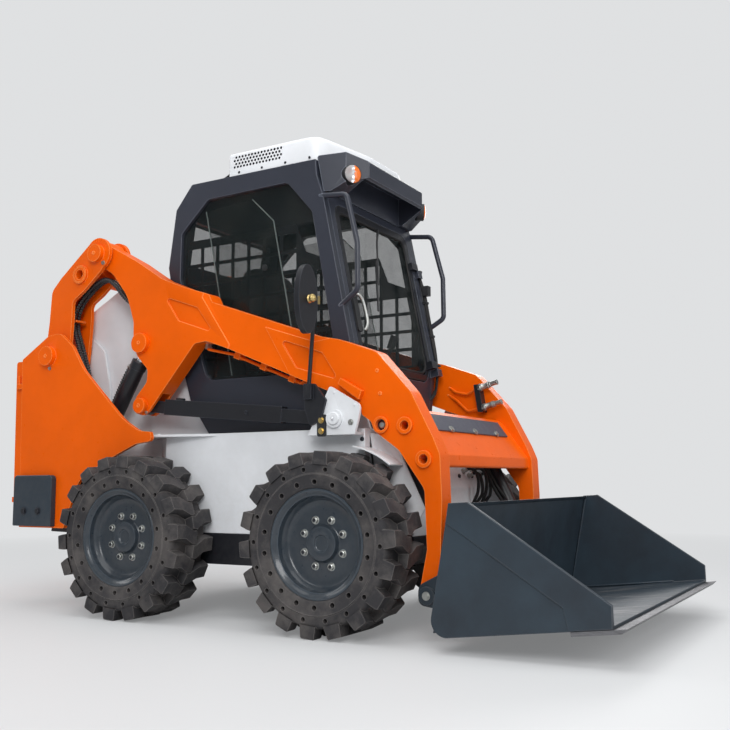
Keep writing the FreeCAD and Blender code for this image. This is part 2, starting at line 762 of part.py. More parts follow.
def hull():
    wall = hull_wall
    middle = block(hull_step_x, hull_front_x, -hull_half, hull_half, hull_floor_z, deck_z)
    cases = block(chain_case_x, hull_step_x + 1, -hull_half, hull_half, hull_floor_z, chain_case_z)
    nose = slab(nose_outline, -nose_half, nose_half)
    rear = block(hull_rear_x, hull_step_x + 1, -tower_inner, tower_inner, bay_floor_z, deck_z)
    flare = deck([(-60, tower_inner), (hull_step_x, hull_half), (hull_step_x, tower_inner)], chain_case_z, deck_z)
    body = joined([middle, cases, nose, rear, flare, mirrored(flare)])
    nose_inside = inset(nose_outline, wall)
    nose_inside[0] = (nose_inside[0][0], hull_floor_z - 1)
    nose_inside[-1] = (nose_inside[-1][0], hull_floor_z - 1)
    case_inside = block(chain_case_x + wall, hull_step_x + wall, tower_inner, hull_half - wall,
                        hull_floor_z - 1, chain_case_z - wall)
    body = body.cut([
        block(hull_step_x + wall, hull_front_x - wall, -hull_half + wall, hull_half - wall,
              hull_floor_z - 1, deck_z - wall),
        block(hull_rear_x + wall, hull_step_x - wall, -tower_inner + wall, tower_inner - wall,
              bay_floor_z + wall, deck_z + 1),
        slab(nose_inside, -nose_half + wall, nose_half - wall), case_inside, mirrored(case_inside)])
    shelf = deck([(-138, tower_inner), (-138, 600), (80, 600), (390, hull_half - 2), (390, tower_inner)],
                 deck_z - wall, deck_z)
    shelf = shelf.cut(block(hull_step_x, 400, 0, hull_half - wall, 800, 900))
    return joined([body, shelf, mirrored(shelf)])


fender_outline = [
    (hull_front_x, 842), (1228, 838, 10), (1334, 764, 30), (1452, 518, 12), (1400, 430, 40),
    (1250, hull_floor_z), (hull_front_x, hull_floor_z)]
fender_low = 478.0
fender_high = 485.0
arch_inner_radius = 404.0
arch_outer_radius = 410.0
arch_start = 52.0
arch_end = 80.0
arch_width = 120.0


def arch_point(radius, angle):
    turn = math.radians(angle)
    return V(wheelbase + radius * math.cos(turn), fender_high - 1, tyre_radius + radius * math.sin(turn))


def front_fender():
    mid = (arch_start + arch_end) / 2
    outer = [arch_point(arch_outer_radius, angle) for angle in (arch_start, mid, arch_end)]
    inner = [arch_point(arch_inner_radius, angle) for angle in (arch_end, mid, arch_start)]
    wire = Part.Wire([
        Part.Arc(outer[0], outer[1], outer[2]).toShape(), Part.makeLine(outer[2], inner[0]),
        Part.Arc(inner[0], inner[1], inner[2]).toShape(), Part.makeLine(inner[2], outer[0])])
    arch = Part.Face(wire).extrude(V(0, arch_width, 0))
    arch = arch.cut(block(1000, hull_front_x + seat_gap, 0, hull_half + seat_gap, 700, 900))
    return joined([slab(fender_outline, fender_low, fender_high), arch])


# Engine and its cover

cover_half = 420.0
cover_rear_x = -834.0
cover_rear_z = 1430.0
cover_crest = (-399.0, 1653.0)
cover_outline = [
    (cover_rear_x, deck_z), (cover_rear_x, cover_rear_z, 40), (cover_crest[0], cover_crest[1], 80),
    (-36, 1690, 20), (82, 1172, 60), (128, 1020, 60), (236, 876), (236, deck_z)]
grille_length = 330.0
grille_half = 280.0
grille_start = 74.0
grille_rows = 12
grille_columns = 3


def on_cover_slope(shape):
    """Moves a shape made along +X from the origin onto the cover's sloping top."""
    slope = math.atan2(cover_crest[1] - cover_rear_z, cover_crest[0] - cover_rear_x)
    start = along((cover_rear_x, cover_rear_z), cover_crest, grille_start)
    shape.rotate(V(0, 0, 0), V(0, 1, 0), -math.degrees(slope))
    shape.translate(V(start[0], 0, start[1]))
    return shape


def engine_cover():
    inner = inset(cover_outline, hull_wall)
    inner[0] = (inner[0][0], deck_z - 50)
    inner[-1] = (inner[-1][0], deck_z - 50)
    body = slab(cover_outline, -cover_half, cover_half)
    body = body.cut(slab(inner, -cover_half + hull_wall, cover_half - hull_wall))
    body = body.cut(block(-850, -800, -360, 360, deck_z + 20, 1286))
    hole = Part.makeBox(grille_length, 2 * grille_half, 60, V(0, -grille_half, -30))
    return body.cut(on_cover_slope(hole))


def engine_grille():
    half = grille_half - seat_gap
    frame = Part.makeBox(grille_length - 2 * seat_gap, 2 * half, 10, V(seat_gap, -half, -12))
    slots = []
    for row in range(grille_rows):
        for column in range(grille_columns):
            slots.append(Part.makeBox(16, 170, 20, V(14 + row * 26, -266 + column * 181, -20)))
    return on_cover_slope(frame.cut(slots))


def engine():
    return block(-640, -60, -240, 240, bay_floor_z + hull_wall, 1120)


# Cab

cab_outline = [
    (124, roof_z, 20), (22, 2028, 20), (-22, 1728, 20), (95, 1172, 60), (142, 1027, 60), (262, deck_z),
    (1024, deck_z), front_low, front_knee, front_top, (888, 2070), (880, roof_z)]
window_outline = [
    (232, 2053, 40), (62, 1897, 40), (58, 1662, 40), (245, 1132, 60), (945, 1132, 50), (975, 1290, 60),
    (860, 1897, 50), (717, 2060, 50)]
side_glass_depth = 18.0
rear_window_half = 330.0
rear_window_low = 1760.0
rear_window_high = 1990.0
doorway_outline = [
    (-doorway_half, doorway_low, 50), (doorway_half, doorway_low, 50),
    (doorway_half, doorway_high, 70), (-doorway_half, doorway_high, 70)]


def on_front(shape):
    """Moves a shape, made upright in front of the plane x = 0 with its knee at the origin, to the cab's front."""
    lean = math.atan2(front_knee[0] - front_top[0], front_top[1] - front_knee[1])
    shape.rotate(V(0, 0, 0), V(0, 1, 0), -math.degrees(lean))
    shape.translate(V(front_knee[0], 0, front_knee[1]))
    return shape


def through_front(outline):
    """A prism square to the cab's front, with an outline of (y, height above the knee) points."""
    return on_front(panel(outline, -150, 80))


def front_band(outer, inner):
    """The layer behind the cab's front between two depths."""
    corners = [(front_top[0] - 41, front_top[1] + 200), front_knee, front_low, (front_low[0] - 15, 1036)]
    behind = [(700, 1036), (700, front_top[1] + 200)]
    start = inset(corners + behind, outer)
    end = inset(corners + behind, inner)
    return slab(start[:4] + end[3::-1], -cab_half, cab_half)


def cab_side():
    body = slab(cab_outline, cab_inner_half, cab_half)
    return body.cut(slab(window_outline, cab_inner_half - 1, cab_half + 1))


def cab_ring(low_x, high_x, low_z, high_z):
    """A stretch of the cab's wall between its two sides."""
    inner = slab(inset(cab_outline, cab_wall), -cab_half, cab_half)
    ring = slab(cab_outline, -cab_inner_half, cab_inner_half).cut(inner)
    return ring.common(block(low_x, high_x, -cab_half, cab_half, low_z, high_z))


def cab_shell():
    """Floor, roof and rear wall of the cab."""
    floor = cab_ring(cab_rear_x, cab_front_x, deck_z, cab_floor_z)
    roof = cab_ring(cab_rear_x, cab_front_x, cab_ceiling_z, roof_z)
    rear = cab_ring(cab_rear_x, cab_split_x, cab_floor_z, cab_ceiling_z)
    hole = block(cab_rear_x, cab_split_x, -rear_window_half, rear_window_half, rear_window_low, rear_window_high)
    return Part.makeCompound([floor, roof, rear.cut(hole)])


def cab_front():
    """The front wall with its doorway and the door's hinges."""
    body = cab_ring(cab_split_x, cab_front_x, cab_floor_z, cab_ceiling_z).cut(through_front(doorway_outline))
    ahead = door_hinge_ahead + door_knuckle_radius
    inner_y = door_hinge_y - door_knuckle_radius
    for height in door_hinge_places:
        low = height - door_hinge_length
        long = door_hinge_length - seat_gap
        root = Part.makeBox(hinge_root, cab_inner_half - inner_y, long, V(-hinge_root, inner_y, low))
        bracket = Part.makeBox(ahead, hinge_width, long, V(0, inner_y, low))
        pin = bar(V(door_hinge_ahead, door_hinge_y, low + 2),
                  V(door_hinge_ahead, door_hinge_y, height + door_hinge_length), door_pin_radius)
        body = body.fuse(on_front(root.fuse([bracket, pin])))
    return body.removeSplitter()


def cab_door():
    outline = inset(doorway_outline, door_gap)
    body = front_band(0, door_thickness).common(through_front(outline))
    body = body.cut(through_front(inset(outline, door_rail)))
    ahead = door_hinge_ahead + door_knuckle_radius
    leaf_low_y = doorway_half - door_gap - door_rail
    leaf_high_y = doorway_half - door_gap - 4
    for height in door_hinge_places:
        leaf = deck([
            (-hinge_leaf_root, leaf_low_y), (-hinge_leaf_root, leaf_high_y), (door_pin_radius, leaf_high_y),
            (door_pin_radius, door_hinge_y), (ahead, door_hinge_y), (ahead, leaf_low_y)],
            height, height + door_hinge_length)
        foot = V(door_hinge_ahead, door_hinge_y, height)
        top = foot + V(0, 0, door_hinge_length)
        leaf = leaf.fuse(bar(foot, top, door_knuckle_radius)).cut(bar(foot, top, door_pin_radius + pin_gap))
        body = body.fuse(on_front(leaf))
    return body.removeSplitter()


def door_glass():
    outline = inset(doorway_outline, door_gap + door_rail + seat_gap)
    return front_band(10, 10 + glass_thickness).common(through_front(outline))


def side_glass():
    outer_y = cab_half - side_glass_depth
    return slab(inset(window_outline, seat_gap), outer_y - glass_thickness, outer_y)


def rear_glass():
    half = rear_window_half - seat_gap
    pane = slab(strip((-22, 1728), (22, 2028), -12, 18), -half, half)
    return pane.common(block(-80, 130, -half, half, rear_window_low + seat_gap, rear_window_high - seat_gap))


visor_outline = [
    (884, 2160), (912, 1992), (944, 1992), (1078, 2072), (1078, 2150, 12), (1015, 2176, 30), (890, 2168)]
visor_plan = [(870, 442), (1015, 392), (1079, 278), (1079, -278), (1015, -392), (870, -442)]
visor_hollow = [(925, 1980), (925, 2140), (1064, 2140), (1064, 2050), (1030, 1980)]
lamp_centre = V(1030, 366, 2070)
lamp_outward = V(0.87, 0.49, -0.05).normalize()
lamp_radius = 46.0
lamp_depth = 34.0
lamp_ahead = 16.0


def visor():
    body = slab(visor_outline, -442, 442).common(deck(visor_plan, 1900, 2300))
    body = body.cut(slab(visor_hollow, -300, 300))
    pocket = bar(lamp_centre - lamp_outward * lamp_depth, lamp_centre + lamp_outward * 80, lamp_radius + seat_gap)
    return body.cut([slab(cab_outline, -500, 500), pocket, mirrored(pocket)])


def front_lamp():
    return bar(lamp_centre - lamp_outward * (lamp_depth - seat_gap), lamp_centre + lamp_outward * lamp_ahead,
               lamp_radius)


roof_unit_plan = [(355, 440), (355, -440), (876, -440), (1008, -158), (1008, 158), (876, 440)]
roof_unit_foot = [(355, 440), (355, -440), (876, -440), (876, 440)]


def roof_unit():
    body = joined([deck(roof_unit_plan, 2177, 2274), deck(roof_unit_foot, roof_z, 2178)])
    return body.cut(slab([(870, 2274), (1010, 2226), (1100, 2300), (870, 2300)], -460, 460))


def grab_handle():
    path = [V(900, 438, 1968), V(1051, 447, 1950), V(1111, 453, 1712), V(1112, 453, 1495), V(1010, 438, 1430)]
    return tube(path, 13, 36).cut(slab(cab_outline, -cab_half, cab_half))


seat_top_z = 1130.0
cushion_outline = [
    (380, seat_top_z, 12), (380, seat_top_z + 90, 40), (830, seat_top_z + 110, 40), (830, seat_top_z, 12)]
cushion_half = 240.0
back_outline = [
    (285, seat_top_z, 20), (380 - seat_gap, seat_top_z), (380 - seat_gap, seat_top_z + 92), (330, 1760, 40),
    (240, 1760, 40)]
back_half = 230.0


def seat_cushion():
    return slab(cushion_outline, -cushion_half, cushion_half)


def seat_back():
    return slab(back_outline, -back_half, back_half)


def seat_base():
    return block(330, 790, -back_half, back_half, cab_floor_z, seat_top_z - seat_gap)


# Armrest consoles with a hand lever each, beside the seat

console_low_y = 262.0
console_high_y = 342.0
console_top_z = 1226.0
lever_radius = 9.0
lever_foot = V(806, 302, 1200)
lever_neck = V(868, 302, 1330)
lever_tip = V(894, 302, 1400)
lever_grip_radius = 21.0


def cab_control():
    post = block(480, 620, console_low_y, console_high_y, cab_floor_z, console_top_z - 40)
    rest = block(420, 830, console_low_y, console_high_y, console_top_z - 46, console_top_z)
    stick = bar(lever_foot, lever_neck, lever_radius)
    grip = bar(lever_neck, lever_tip, lever_grip_radius)
    return joined([post, rest, stick, grip])


# Grid plates inside the side windows

guard_outline = [
    (40, 1120, 20), (20, 1700, 30), (90, 1862, 20), (745, 1862, 10), (800, 1720, 10), (940, 1660, 10),
    (985, 1280, 20), (970, 1120, 20)]
guard_thickness = 5.0
guard_pitch = 98.0
guard_hole = 80.0
guard_start = (78.0, 1150.0)
guard_hole_table = [(0, 9, 0), (0, 9, 1), (0, 9, 2), (0, 9, 3), (0, 9, 4), (0, 7, 5), (0, 7, 6)]


def side_guard():
    outer_y = cab_inner_half - seat_gap
    room = slab(inset(cab_outline, cab_wall + seat_gap), 0, cab_half)
    plate = slab(guard_outline, outer_y - guard_thickness, outer_y).common(room)
    holes = []
    for first, last, row in guard_hole_table:
        for column in range(first, last):
            x = guard_start[0] + column * guard_pitch
            z = guard_start[1] + row * guard_pitch
            holes.append(block(x, x + guard_hole, outer_y - guard_thickness - 1, outer_y + 1, z, z + guard_hole))
    return plate.cut(holes)


# Mirror on the right, on a rod from a foot on the link's bracket

mirror_foot_outline = [
    (939, 1058, 6), (991, 1058, 6), (1050, 985, 10), (1024, 900, 10), (968, 872, 10), (939, 950, 10)]
mirror_foot_thickness = 12.0
mirror_boss = (945.0, 985.0, 990.0, 1058.0)
mirror_boss_reach = 30.0
mirror_rod_radius = 9.0
mirror_centre = V(1036, -760, 1407)
mirror_half_width = 72.0
mirror_half_height = 150.0
mirror_thickness = 26.0


def mirror():
    face_y = -bracket_outer_high
    foot = slab(mirror_foot_outline, face_y - mirror_foot_thickness, face_y)
    x_low, x_high, z_low, z_high = mirror_boss
    boss = block(x_low, x_high, face_y - mirror_boss_reach, face_y - mirror_foot_thickness + 1, z_low, z_high)
    rod_foot = V((x_low + x_high) / 2, face_y - mirror_boss_reach / 2 - 6, z_low + 20)
    rod_top = V(1011, -650, 1440)
    rod = bar(rod_foot, rod_top, mirror_rod_radius)
    arm = bar(V(1010, -650, mirror_centre.z), V(mirror_centre.x - 4, -712, mirror_centre.z), 8)
    oval = Part.Ellipse(V(0, 0, 0), mirror_half_height, mirror_half_width).toShape()
    head = Part.Face(Part.Wire([oval])).extrude(V(0, 0, mirror_thickness))
    head.rotate(V(0, 0, 0), V(0, 1, 0), -90)
    head.translate(mirror_centre + V(mirror_thickness / 2, 0, 0))
    return joined([foot, boss, rod, arm, head])


# Hydraulic pipes and hoses on the arm

pipe_radius = 7.0
pipe_places = (499.0, 517.0)
pipe_line = [(300, 1298.6), (300, 1274), (456, 1237.8), (861, 1071.8), (869.9, 1093.8)]
pipe_bend = 18.0
pipe_clamps = (0.08, 0.46, 0.86)
clamp_length = 34.0
clamp_side = 12.0
clamp_height = 36.0
coupler_pipe_table = [
    [V(1290, 455, 1108), V(1235, 470, 1082), V(1165, 470, 1098), V(1120, 496, 1126)],
    [V(1312, 455, 1006), V(1236, 470, 992), V(1176, 470, 1050), V(1112, 496, 1086)]]
coupler_pipe_bend = 26.0


def arm_pipes():
    """Two pipes under each side of the arm with their clamps, and the couplers' pipes on the left."""
    arm = slab(boom_outline, boom_inner - 4, boom_outer + 4)
    start = V(pipe_line[2][0], 0, pipe_line[2][1])
    end = V(pipe_line[3][0], 0, pipe_line[3][1])
    run = [tube([V(x, y, z) for x, z in pipe_line], pipe_radius, pipe_bend) for y in pipe_places]
    low_y = pipe_places[0] - clamp_side
    width = pipe_places[1] - pipe_places[0] + 2 * clamp_side
    for share in pipe_clamps:
        clamp = Part.makeBox(clamp_length, width, clamp_height, V(-clamp_length / 2, low_y, -clamp_side))
        clamp.rotate(V(0, 0, 0), V(0, 1, 0), math.degrees(math.atan2(start.z - end.z, end.x - start.x)))
        clamp.translate(start + (end - start) * share)
        run.append(clamp.cut([arm] + run[:2]))
    made = run + [mirrored(shape) for shape in run]
    inner_wall = block(900, 1500, boom_inner, boom_outer, 900, 1300)
    for points in coupler_pipe_table:
        made.append(tube(points, pipe_radius, coupler_pipe_bend).cut([inner_wall, quick_couplers()]))
    return Part.makeCompound(made)


hose_radius = 12.0
hose_bend = 46.0
hose_mid = 535.0
hose_turn = (-470.0, 1650.0)
boom_hose_line = [hose_turn, (-392, 1702), (-306, 1668), (-212, 1560), (-140, 1520)]
link_hose_line = [hose_turn, (-548, 1598), (-604, 1480), (-540, 1330), (-474, 1150), (-452, 1010)]
hose_pair_step = 28.0


def hose_run(line, y_mid):
    return [V(x, y_mid, z) for x, z in line]


def boom_hose():
    arm = slab(boom_outline, boom_inner, boom_outer)
    made = []
    for index in range(2):
        points = hose_run(boom_hose_line, hose_mid - hose_pair_step / 2 + index * hose_pair_step)
        made.append(tube(points, hose_radius, hose_bend).cut(arm))
    return Part.makeCompound(made)


def link_hose():
    """Two hoses from the tower's inner plate up the rear link."""
    wall_y = tower_inner + tower_inner_plate
    made = []
    for index in range(2):
        y_mid = hose_mid - hose_pair_step / 2 + index * hose_pair_step
        points = hose_run(link_hose_line, y_mid) + [V(link_hose_line[-1][0] + 30, wall_y - 4, 960 - index * 40)]
        made.append(tube(points, hose_radius, 40).cut(block(-600, -300, tower_inner, wall_y, 800, 1200)))
    return Part.makeCompound(made)


pieces = {}


def add(name, shape):
    pieces[name] = shape


tyre_shape = tyre()
rim_shape = rim()
for end_name, axle_x in (("front", wheelbase), ("rear", 0.0)):
    for side_name, side in (("left", 1), ("right", -1)):
        for kind, shape in (("tyre", tyre_shape), ("rim", rim_shape)):
            placed = shape.copy()
            placed.translate(V(axle_x, track_half, tyre_radius))
            add("%s_%s_%s" % (kind, end_name, side_name), placed if side > 0 else mirrored(placed))

axle_tubes = [axle_tube(0.0), axle_tube(wheelbase)]
add("axle_tubes", Part.makeCompound(axle_tubes + [mirrored(shape) for shape in axle_tubes]))

for name, make in (("boom", boom), ("rear_link", rear_link)):
    shape = make()
    add(name + "_left", shape)
    add(name + "_right", mirrored(shape))

# One node each for the like pieces of both sides
for name, make in (
        ("towers", tower), ("counterweights", counterweight), ("control_links", control_link),
        ("link_brackets", link_bracket), ("front_fenders", front_fender), ("lift_barrels", lift_barrel),
        ("lift_rods", lift_rod), ("tilt_barrels", tilt_barrel), ("tilt_rods", tilt_rod),
        ("side_glass", side_glass), ("front_lamps", front_lamp), ("grab_handles", grab_handle),
        ("cab_sides", cab_side), ("cab_controls", cab_control), ("side_guards", side_guard),
        ("boom_hoses", boom_hose), ("link_hoses", link_hose)):
    add(name, both_sides(make()))

for name, make in (
        ("link_cross_tube", link_cross_tube), ("boom_crossbeam", crossbeam), ("beam_plate", beam_plate),
        ("quick_couplers", quick_couplers), ("bucket", bucket), ("cutting_edge", cutting_edge),
        ("attachment_frame", attachment_frame), ("underframe", underframe), ("hull", hull),
        ("engine_cover", engine_cover), ("engine_grille", engine_grille), ("engine", engine),
        ("tail_door", tail_door), ("cab_shell", cab_shell), ("cab_front", cab_front), ("rear_glass", rear_glass),
        ("cab_door", cab_door), ("door_glass", door_glass), ("visor", visor), ("roof_unit", roof_unit),
        ("boom_fittings", boom_fittings), ("arm_pipes", arm_pipes), ("mirror", mirror),
        ("seat_cushion", seat_cushion), ("seat_back", seat_back), ("seat_base", seat_base)):
    add(name, make())

os.makedirs("parts", exist_ok=True)
for name, shape in pieces.items():
    moved = shape.copy()
    moved.translate(V(-row_origin_x, 0, 0))
    moved.exportStep("parts/%s.step" % name)
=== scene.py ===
import bpy
import bmesh
import json
import math
from mathutils import Matrix, Vector

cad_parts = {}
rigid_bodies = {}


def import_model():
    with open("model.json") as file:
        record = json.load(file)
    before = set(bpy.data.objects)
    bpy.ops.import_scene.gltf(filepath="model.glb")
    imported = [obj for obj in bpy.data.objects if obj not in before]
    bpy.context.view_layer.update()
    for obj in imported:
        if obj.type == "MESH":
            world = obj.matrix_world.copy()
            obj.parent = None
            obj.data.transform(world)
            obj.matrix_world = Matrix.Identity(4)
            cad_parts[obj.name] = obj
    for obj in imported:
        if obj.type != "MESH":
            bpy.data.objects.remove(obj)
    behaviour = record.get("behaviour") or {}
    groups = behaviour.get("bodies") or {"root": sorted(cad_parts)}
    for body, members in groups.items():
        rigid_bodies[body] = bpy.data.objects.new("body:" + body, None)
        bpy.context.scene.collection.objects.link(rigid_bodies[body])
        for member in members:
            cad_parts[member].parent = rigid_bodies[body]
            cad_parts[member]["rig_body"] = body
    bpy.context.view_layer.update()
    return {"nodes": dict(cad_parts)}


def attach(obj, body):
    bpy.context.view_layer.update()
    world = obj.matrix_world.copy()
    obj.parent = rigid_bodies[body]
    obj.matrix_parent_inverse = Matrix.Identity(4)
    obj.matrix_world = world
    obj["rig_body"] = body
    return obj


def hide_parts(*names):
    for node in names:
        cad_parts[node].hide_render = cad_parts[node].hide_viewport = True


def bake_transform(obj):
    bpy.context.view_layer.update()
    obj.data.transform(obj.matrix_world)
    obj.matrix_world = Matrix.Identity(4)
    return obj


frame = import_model()

# Lengths below are in millimetres, from the rear axle (x), the middle (y) and the ground (z).
ORIGIN_X = 720.0
WHEELBASE = 1100.0
TRACK_HALF = 675.0
AXLE_Z = 380.0


def at(x, y, z):
    return Vector(((x - ORIGIN_X) / 1000, y / 1000, z / 1000))


def linked(name, data):
    """An object in the scene that holds a mesh, a lamp or the camera."""
    made = bpy.data.objects.new(name, data)
    bpy.context.scene.collection.objects.link(made)
    return made


# Camera, as the photograph was taken

CAMERA_PLACE = at(3205.8, -4009.2, 637.9)
CAMERA_HEADING = 2.095434
CAMERA_PITCH = 0.1233145
CAMERA_ROLL = -0.0051805
CAMERA_FOCUS = 929.38
PHOTO_SIDE = 730.0
SENSOR = 36.0


def make_camera():
    """The camera, set up from its place, its three angles and its focal length in the photograph's pixels."""
    ahead = Vector((
        math.cos(CAMERA_PITCH) * math.cos(CAMERA_HEADING),
        math.cos(CAMERA_PITCH) * math.sin(CAMERA_HEADING),
        math.sin(CAMERA_PITCH)))
    level = Vector((math.sin(CAMERA_HEADING), -math.cos(CAMERA_HEADING), 0))
    upright = level.cross(ahead)
    right = level * math.cos(CAMERA_ROLL) + upright * math.sin(CAMERA_ROLL)
    up = upright * math.cos(CAMERA_ROLL) - level * math.sin(CAMERA_ROLL)
    data = bpy.data.cameras.new("camera")
    data.sensor_width = SENSOR
    data.lens = CAMERA_FOCUS * SENSOR / PHOTO_SIDE
    camera = linked("camera", data)
    turn = Matrix((right, up, -ahead)).transposed().to_4x4()
    camera.matrix_world = Matrix.Translation(CAMERA_PLACE) @ turn
    bpy.context.scene.camera = camera


# Shader maths as Python expressions

class Shade:
    """A shader socket that takes part in arithmetic."""

    def __init__(self, tree, socket):
        self.tree = tree
        self.socket = socket

    def maths(self, operation, first, second):
        made = self.tree.nodes.new("ShaderNodeMath")
        made.operation = operation
        for index, value in enumerate((first, second)):
            if isinstance(value, Shade):
                self.tree.links.new(value.socket, made.inputs[index])
            else:
                made.inputs[index].default_value = value
        return Shade(self.tree, made.outputs[0])

    def __add__(self, other):
        return self.maths("ADD", self, other)

    def __radd__(self, other):
        return self.maths("ADD", other, self)

    def __sub__(self, other):
        return self.maths("SUBTRACT", self, other)

    def __rsub__(self, other):
        return self.maths("SUBTRACT", other, self)

    def __mul__(self, other):
        return self.maths("MULTIPLY", self, other)

    def __rmul__(self, other):
        return self.maths("MULTIPLY", other, self)


class Finish:
    """A material in the making, with the shader that ends it."""

    def __init__(self, name, **shader):
        self.material = bpy.data.materials.new(name)
        self.material.use_nodes = True
        self.tree = self.material.node_tree
        self.shader = self.tree.nodes["Principled BSDF"]
        self.feed(self.shader, {key.replace("_", " ").title().replace("Ior", "IOR"): value
                                for key, value in shader.items()})

    def feed(self, made, sockets):
        for key, value in sockets.items():
            if isinstance(value, Shade):
                self.tree.links.new(value.socket, made.inputs[key])
            else:
                made.inputs[key].default_value = value

    def node(self, kind, output, settings=None, sockets=None):
        """Adds a node: its settings come first, then the values or links of its sockets."""
        made = self.tree.nodes.new(kind)
        for key, value in (settings or {}).items():
            setattr(made, key, value)
        self.feed(made, sockets or {})
        return Shade(self.tree, made.outputs[output])

    def place(self, sx=1.0, sy=1.0, sz=1.0):
        spot = self.node("ShaderNodeTexCoord", "Object")
        return self.node("ShaderNodeVectorMath", "Vector", {"operation": "MULTIPLY"},
                         {0: spot, 1: (sx, sy, sz)})

    def noise(self, scale, detail=3.0, rough=0.5, where=None):
        return self.node("ShaderNodeTexNoise", "Fac", {}, {
            "Vector": where or self.place(), "Scale": scale, "Detail": detail, "Roughness": rough})

    def spread(self, value, low, high, start=0.0, end=1.0):
        """Carries a value's stretch from low to high onto start to end, and holds it there."""
        return self.node("ShaderNodeMapRange", "Result", {"clamp": True}, {
            "Value": value, "From Min": low, "From Max": high, "To Min": start, "To Max": end})

    def mix(self, under, over, share):
        return self.node("ShaderNodeMix", 2, {"data_type": "RGBA"}, {0: share, 6: under, 7: over})

    def facing_up(self):
        normal = self.node("ShaderNodeNewGeometry", "Normal")
        return self.node("ShaderNodeSeparateXYZ", "Z", {}, {"Vector": normal})

    def height(self):
        return self.node("ShaderNodeSeparateXYZ", "Z", {}, {"Vector": self.place()})

    def edges(self, radius):
        """Where the surface turns sharply within a radius."""
        rounded = self.node("ShaderNodeBevel", "Normal", {"samples": 4}, {"Radius": radius})
        flat = self.node("ShaderNodeNewGeometry", "Normal")
        match = self.node(
            "ShaderNodeVectorMath", "Value", {"operation": "DOT_PRODUCT"}, {0: rounded, 1: flat})
        return self.spread(match, 0.995, 0.9)

    def bump(self, height, depth, strength=1.0):
        return self.node("ShaderNodeBump", "Normal", {}, {
            "Height": height, "Distance": depth, "Strength": strength})

    def end(self, **sockets):
        self.feed(self.shader, {key.replace("_", " ").title(): value for key, value in sockets.items()})
        return self.material


def colour(red, green, blue):
    return (red, green, blue, 1.0)


def toned(shade, factor, lift=0.0):
    """A darker or lighter form of a colour."""
    return colour(*(channel * factor + lift for channel in shade[:3]))


DUST = colour(0.42, 0.38, 0.33)
# Metres above the ground between which the dust on the paint thins out
DUST_HEIGHTS = (0.1, 1.1)


def paint(name, shade, rough, coat, dust=0.12, wave=0.25, rim=None, level=0.32, tint=colour(1, 1, 1)):
    """Sprayed paint: slight cloudiness, orange-peel, a paler rim on its edges that is a painted highlight,
    and dust on what faces up.
    """
    finish = Finish(
        name, coat_weight=coat, coat_roughness=0.1, specular_ior_level=level, specular_tint=tint)
    cloud = finish.noise(2.3, 4.0, 0.6)
    fine = finish.noise(38.0, 5.0, 0.65)
    body = finish.mix(shade, toned(shade, 0.86), finish.spread(cloud, 0.35, 0.7))
    low = 1 - finish.spread(finish.height(), *DUST_HEIGHTS)
    lying = finish.spread(finish.facing_up(), 0.5, 1.0, 0.0, 0.6)
    film = finish.spread(fine, 0.38, 0.72) * (low * 0.7 + lying + 0.08) * dust
    body = finish.mix(body, DUST, film)
    # The rim colour is a painted highlight along the sharp edges, where light would catch them
    if rim:
        body = finish.mix(body, rim, finish.edges(0.005) * 0.75)
    peel = finish.noise(420.0, 2.0, 0.5)
    return finish.end(
        base_color=body, roughness=finish.spread(fine, 0.3, 0.7, rough, rough + 0.12) + film * 0.5,
        normal=finish.bump(peel + cloud * wave, 0.0004))


def rubber(name, shade, dust, rough=0.72):
    """Moulded rubber with a grey bloom and dust in its pores."""
    finish = Finish(name, specular_ior_level=0.25)
    cloud = finish.noise(7.0, 6.0, 0.7)
    grain = finish.noise(260.0, 4.0, 0.6)
    bloom = finish.spread(cloud, 0.42, 0.68)
    body = finish.mix(shade, colour(0.115, 0.105, 0.10), bloom * dust)
    worn = finish.edges(0.006)
    body = finish.mix(body, colour(0.20, 0.185, 0.175), worn * dust * 0.7)
    return finish.end(
        base_color=body, roughness=finish.spread(grain, 0.3, 0.7, rough - 0.08, rough + 0.12),
        normal=finish.bump(grain + cloud * 0.6, 0.0008))


def metal(name, shade, rough, streak=0.0, metallic=1.0):
    """Bare or plated metal with fine scratches along its length."""
    finish = Finish(name, metallic=metallic)
    lines = finish.noise(60.0, 5.0, 0.6, finish.place(0.4, 6.0, 2.0))
    cloud = finish.noise(11.0, 4.0, 0.6)
    dull = finish.spread(lines * streak + cloud * (1 - streak), 0.42, 0.66)
    body = finish.mix(shade, toned(shade, 0.72), dull)
    return finish.end(
        base_color=body, roughness=finish.spread(cloud, 0.3, 0.7, rough, rough + 0.14),
        normal=finish.bump(lines, 0.0002, 0.6))


def plastic(name, shade, rough):
    """Grained moulded plastic."""
    finish = Finish(name)
    grain = finish.noise(520.0, 2.0, 0.5)
    cloud = finish.noise(9.0, 4.0, 0.6)
    body = finish.mix(shade, toned(shade, 1.5, 0.004), finish.spread(cloud, 0.4, 0.75))
    return finish.end(
        base_color=body, roughness=finish.spread(cloud, 0.3, 0.7, rough, rough + 0.1),
        normal=finish.bump(grain, 0.0005, 0.7))


